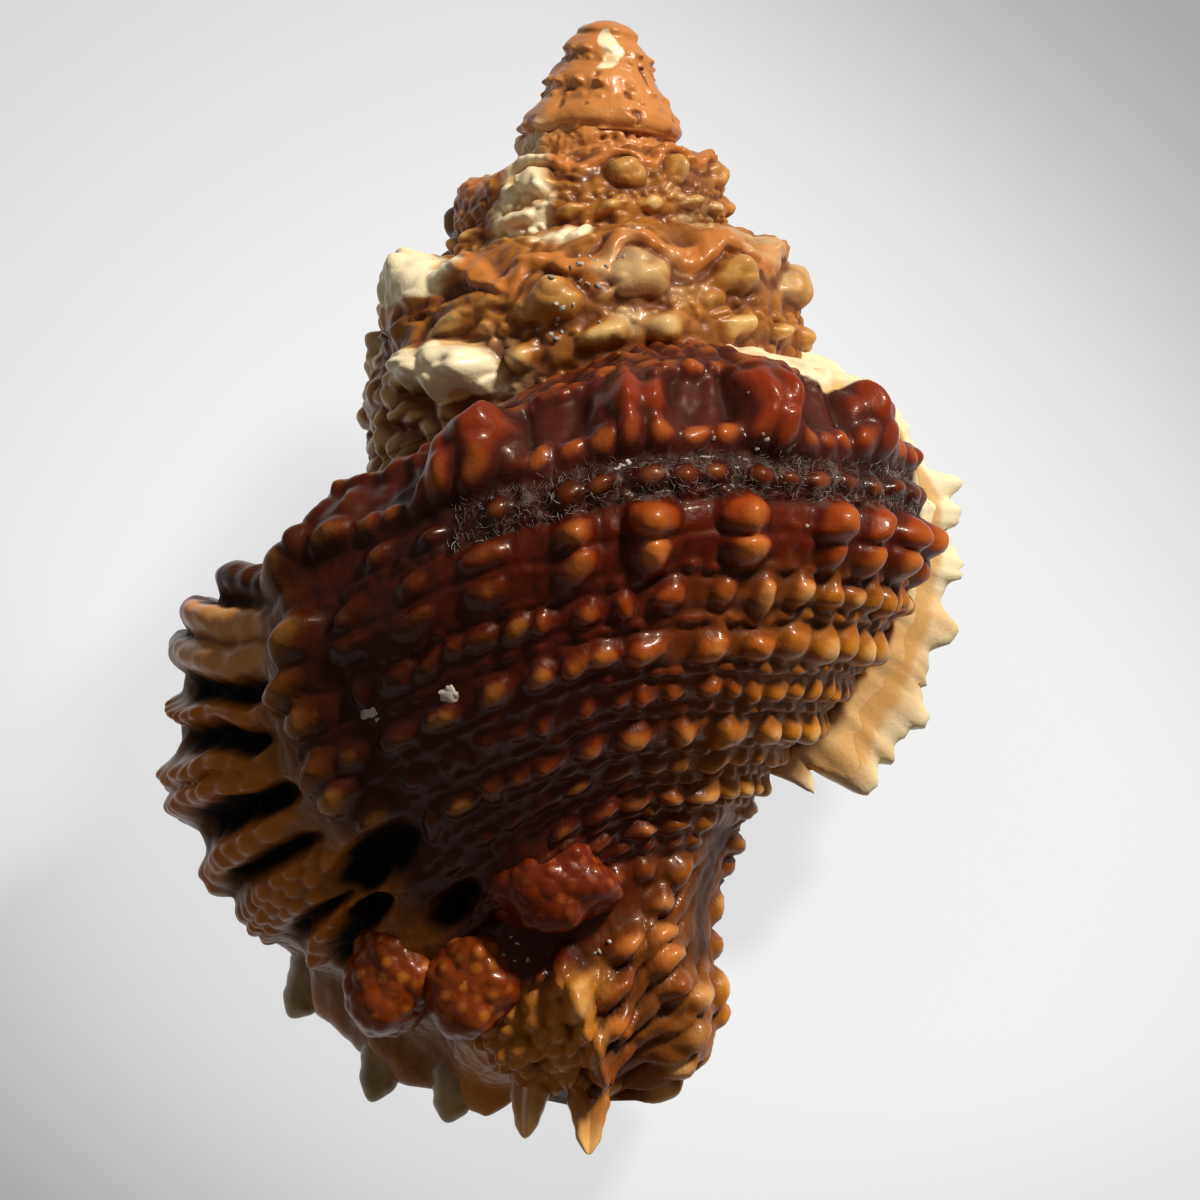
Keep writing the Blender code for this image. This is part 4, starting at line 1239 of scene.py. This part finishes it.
def addHairs():
    back = bpy.data.objects["back"]
    first, last = fuzz["turns"]
    turn, away, raised = (maskOf(back, name) for name in ("turn", "share", "raised"))
    away = np.abs(away - hairyShare)
    near = np.flatnonzero((away < fuzz["halfBand"]) & (turn > first) & (turn < last) & (raised < 0.5))
    rng = np.random.default_rng(12)
    chosen = rng.choice(near, fuzz["hairs"], replace=False)
    base = pointsOf(back)[chosen]
    out = pointsOf(back, "normal")[chosen]
    side = np.cross(out, rng.normal(size=out.shape))
    side /= np.linalg.norm(side, axis=1)[:, None]
    other = np.cross(out, side)
    long = rng.uniform(0.4, 1.0, (len(base), 1)) * fuzz["longest"] * mm
    bend = rng.uniform(-0.5, 0.5, (len(base), 1))
    # each hair is a thin bent prism with three sides and two ends
    steps = 6
    points = []
    for u in np.linspace(0.0, 1.0, steps):
        path = base + out * long * (0.55 * u - 0.42 * u * u) + side * long * 0.8 * u + other * long * bend * u * u
        thick = fuzz["thickness"] * mm * (1 - 0.7 * u)
        points += [path + thick * (out * math.cos(tau * k / 3) + other * math.sin(tau * k / 3)) for k in range(3)]
    points = np.stack(points, axis=1).reshape(-1, 3)
    end = 3 * steps - 3
    sides = ((0, 3, 4, 1), (1, 4, 5, 2), (2, 5, 3, 0))
    prism = [[row + i for i in side] for row in range(0, end, 3) for side in sides]
    prism += [(0, 1, 2), (end + 2, end + 1, end)]
    faces = [tuple(start + i for i in face) for start in range(0, len(points), 3 * steps) for face in prism]
    loosePiece("hairs", points, faces, greyMaterial("greyHair", "greyHair", "greyHairDark"))


def addCrumbs():
    pick()
    bpy.ops.mesh.primitive_ico_sphere_add(subdivisions=2, radius=1.0)
    ball = bpy.context.object
    corners = pointsOf(ball)
    sides = np.array([tuple(face.vertices) for face in ball.data.polygons])
    bpy.data.objects.remove(ball, do_unlink=True)
    rng = np.random.default_rng(31)
    points = []
    faces = []
    for name, turn, share, spread, count, size, flat in fuzz["crumbs"]:
        piece = bpy.data.objects[name]
        along = (maskOf(piece, "turn") - turn) * alongMillimetres(turn, share)
        across = (maskOf(piece, "share") - share) * shareLength(turn)
        places = pointsOf(piece)
        ways = pointsOf(piece, "normal")
        for _ in range(count):
            a, b = rng.normal(0.0, 0.5 * spread, 2)
            spot = np.argmin((along - a) ** 2 + (across - b) ** 2)
            out = ways[spot] + rng.normal(0.0, 0.25, 3)
            out /= np.linalg.norm(out)
            side = np.cross(out, rng.normal(size=3))
            side /= np.linalg.norm(side)
            own = size * mm * rng.uniform(0.5, 1.1)
            shape = corners * rng.uniform(0.6, 1.25, (len(corners), 1)) * own * (1.0, rng.uniform(0.45, 0.9), flat)
            faces.append(sides + len(points) * len(corners))
            points.append(places[spot] + 0.1 * own * flat * out + shape @ np.array((side, np.cross(out, side), out)))
    faces = np.concatenate(faces).tolist()
    loosePiece("crumbs", np.concatenate(points), faces, greyMaterial("greyCrumb", "crumb", "crumbDark"))


apex = {
    # depth down the axis and half width of the worn tip, in millimetres
    "profile": (
        (1.86, 0.25), (1.93, 0.95), (2.25, 1.35), (2.75, 1.62), (3.45, 1.98), (4.15, 2.42), (4.9, 2.58), (5.4, 2.8),
        (5.8, 3.05), (6.2, 3.35), (6.6, 3.65), (7.0, 3.8), (7.4, 3.75), (7.8, 3.3)),
    "step": 0.12, "erosion": 0.26,
}


def addApex():
    knots, radii = zip(*apex["profile"])
    down = np.linspace(knots[0], knots[-1], 110)[:, None]
    angle = np.linspace(0.0, tau, 161)
    radius = sum(np.interp(down + shift, knots, radii) for shift in (-0.16, -0.08, 0.0, 0.08, 0.16)) / 5
    climb = (np.log(down / 9.0) / -math.log(growth["perTurn"]) + angle / tau) % 1.0
    places = wound(radius, angle, down)
    waves = lumps(places, 1.3, 31) + 0.5 * lumps(places, 0.6, 32)
    pitted = unit(lumps(places, 0.5, 33) - 0.48) * ease(down, 3.6, 4.8)
    dots = unit(np.cos(15 * angle + 2 * waves)) ** 0.8 * bump(climb - 0.62, 0.1)
    dots = dots + 0.6 * unit(np.cos(21 * angle + 1)) * bump(climb - 0.3, 0.07)
    steps = apex["step"] * (bump(climb - 0.72, 0.2) - bump(climb - 0.28, 0.16))
    steps = steps + 0.26 * dots * ease(down, 2.6, 4.2) * (1 + 0.5 * waves)
    radius = radius + (steps + apex["erosion"] * (waves * 0.7 - 1.8 * pitted)) * ease(down, 1.9, 2.6)
    white = bump((angle - 2.15) / 2.2 + 0.1 * waves, 0.1) * between(down, 2.2, 2.8, 4.3, 4.9)
    # the low steps and pits of the apex are painted darker through sunk, as painted shade
    masks = {"raised": unit(waves), "sunk": unit(-steps * 4 - waves * 0.4 + pitted * 5), "pale": unit(white),
             "turn": 4.6, "share": 0.1, "tone": 0.5}
    finishPiece(closedGrid("apex", layDown(wound(radius, angle, -down)), masks, spireSlots))


def addPillar():
    knots, radii = zip(*hollow["pillar"])
    down = np.linspace(knots[0], knots[-1], 120)[:, None]
    angle = np.linspace(0.0, tau, 97)
    ridges = 0.16 * np.cos(angle * 3 + down * 1.7) + 0.1 * np.cos(down * 5.2 + angle * 2)
    end = unit((knots[-1] - down) / 0.9)
    radius = (curve(knots, radii, down) + ridges) * np.sqrt(np.clip(1 - (1 - end) ** 2, 0.02, 1))
    # the grooves between its ridges are painted darker through sunk, as painted shade
    masks = {"raised": unit(ridges * 3), "sunk": unit(-ridges * 3), "turn": 0.62, "share": 0.93}
    finishPiece(closedGrid("pillar", layDown(wound(radius, angle, -down) - (0.4, 0.2, 0.0)), masks, shellSlots))


lipTeeth = {
    # turns, share, lean towards the canal, length, width, hollowness, how far it is set in
    "places": (
        (0.0, 0.548, 0.0, 2.8, 2.0, 0.25, 0.0), (0.0, 0.676, 0.9, 3.6, 2.05, 0.3, 0.0),
        (0.0, 0.868, 2.0, 2.4, 1.95, 0.3, 0.0), (0.198, 0.965, 4.0, 2.2, 1.45, 0.25, 1.0),
        (0.372, 0.988, 5.0, 2.8, 1.3, 0.6, 0.9)),
    "buried": 1.6, "taper": 0.54,
}


def toothPoints(turns, share, lean, length, width, gutter, inset):
    radius, depth = section(turns, np.array((share - 0.01, share, share + 0.01)))
    out = np.array((depth[2] - depth[0], radius[0] - radius[2]))
    out = out / np.hypot(*out) + (0.0, lean)
    out = out / np.hypot(*out)
    ring = np.linspace(0.0, tau, 49)
    step = np.linspace(0.0, 1.0, 44)[:, None]
    reach = (lipTeeth["buried"] + length) * step - lipTeeth["buried"]
    wide = width * (1 - lipTeeth["taper"] * step) * np.sqrt(np.clip(1 - step**5, 0.015, 1))
    # the side that faces the aperture is scooped out
    flat = 0.72 * wide * np.sin(ring) * (1 - gutter * (np.sin(ring) < 0) * (1 - np.abs(np.cos(ring))) * 1.6)
    wide = wide * (1 + 0.05 * np.sin(step * 17) + 0.04 * np.sin(step * 31 + 1)) * np.cos(ring)
    if turns > 0.1:
        # the teeth beside the canal are broad across the axis
        wide, flat = flat, wide
    radius = radius[1] - inset + out[0] * reach - out[1] * wide
    depth = depth[1] + out[1] * reach + out[0] * wide
    return layDown(wound(radius, tau * turns, -depth, flat)), step


def addTeeth():
    slots = [toothMaterial()]
    for number, place in enumerate(lipTeeth["places"], 1):
        points, reach = toothPoints(*place)
        finishPiece(closedGrid("tooth" + str(number), points, {"reach": reach, "honey": place[0] > 0.1}, slots))


# granulated knobs that stand on the varix and the base: turn, radius and depth of the middle, then half sizes
# outwards, around and along the axis, size of a grain, and the turn whose colour the knob takes
granulated = {
    "knobNearLip": (0.1427, 9.5, 49.5, 2.5, 2.35, 3.0, 0.85, 0.22),
    "knobNearCanal": (0.199, 6.8, 49.9, 2.5, 2.4, 2.8, 0.9, 0.22),
    "baseMound": (0.2943, 6.9, 45.2, 2.5, 3.2, 2.5, 0.75, 0.33),
}


def addGranulated(name, turn, radius, depth, outwards, around, along, grain, colouredAs):
    pick()
    bpy.ops.mesh.primitive_ico_sphere_add(subdivisions=6, radius=1.0)
    piece = bpy.context.object
    piece.name = name
    ball = pointsOf(piece)
    ball = ball / np.linalg.norm(ball, axis=1)[:, None]
    sizes = np.array((outwards, around, along))
    rng = np.random.default_rng(len(name))
    # grains in a spiral over the ball
    count = int(2 * tau * outwards * along / (0.8 * grain**2))
    steps = np.arange(count) + 0.5
    level = np.clip(1 - 2 * steps / count + rng.uniform(-0.06, 0.06, count), -1, 1)
    turned = math.pi * (1 + math.sqrt(5)) * steps + rng.uniform(-0.15, 0.15, count)
    grains = wound(np.sqrt(1 - level**2), turned, level)
    tall = rng.uniform(0.03, 0.17, count)
    tones = rng.uniform(0, 1, count)
    best, tip, tone = np.zeros((3, len(ball)))
    for middle, height, own in zip(grains, tall, tones):
        dome = unit(1 - (((ball - middle) * sizes / (0.72 * grain)) ** 2).sum(axis=1)) ** 1.1
        tone = np.where(height * dome > best, own, tone)
        tip = np.maximum(tip, dome)
        best = np.maximum(best, height * dome)
    rough = lumps(ball * sizes + 9.0, 1.7, 41) * 0.6 + lumps(ball * sizes + 9.0, 0.4, 42) * 0.04
    out, side, up = (ball * (sizes + (best + rough - 0.1)[:, None])).T
    places = layDown(wound(radius + out, tau * turn, up - depth, side))
    piece.data.vertices.foreach_set("co", places.reshape(-1).astype(np.float32))
    # the hollows between the grains are painted darker through sunk as painted shade, and the grain tops paler
    # through tip, partly a painted highlight
    masks = {"raised": 0.5, "sunk": unit(0.3 - tip) * 1.1, "tip": tip * 0.85, "tone": tone, "turn": colouredAs}
    setMasks(piece.data, len(ball), {**masks, "share": 1.2})
    piece.data.materials.append(shellSlots[0])
    finishPiece(piece)


addHairs()
addCrumbs()
addApex()
addPillar()
addTeeth()
for name, form in granulated.items():
    addGranulated(name, *form)
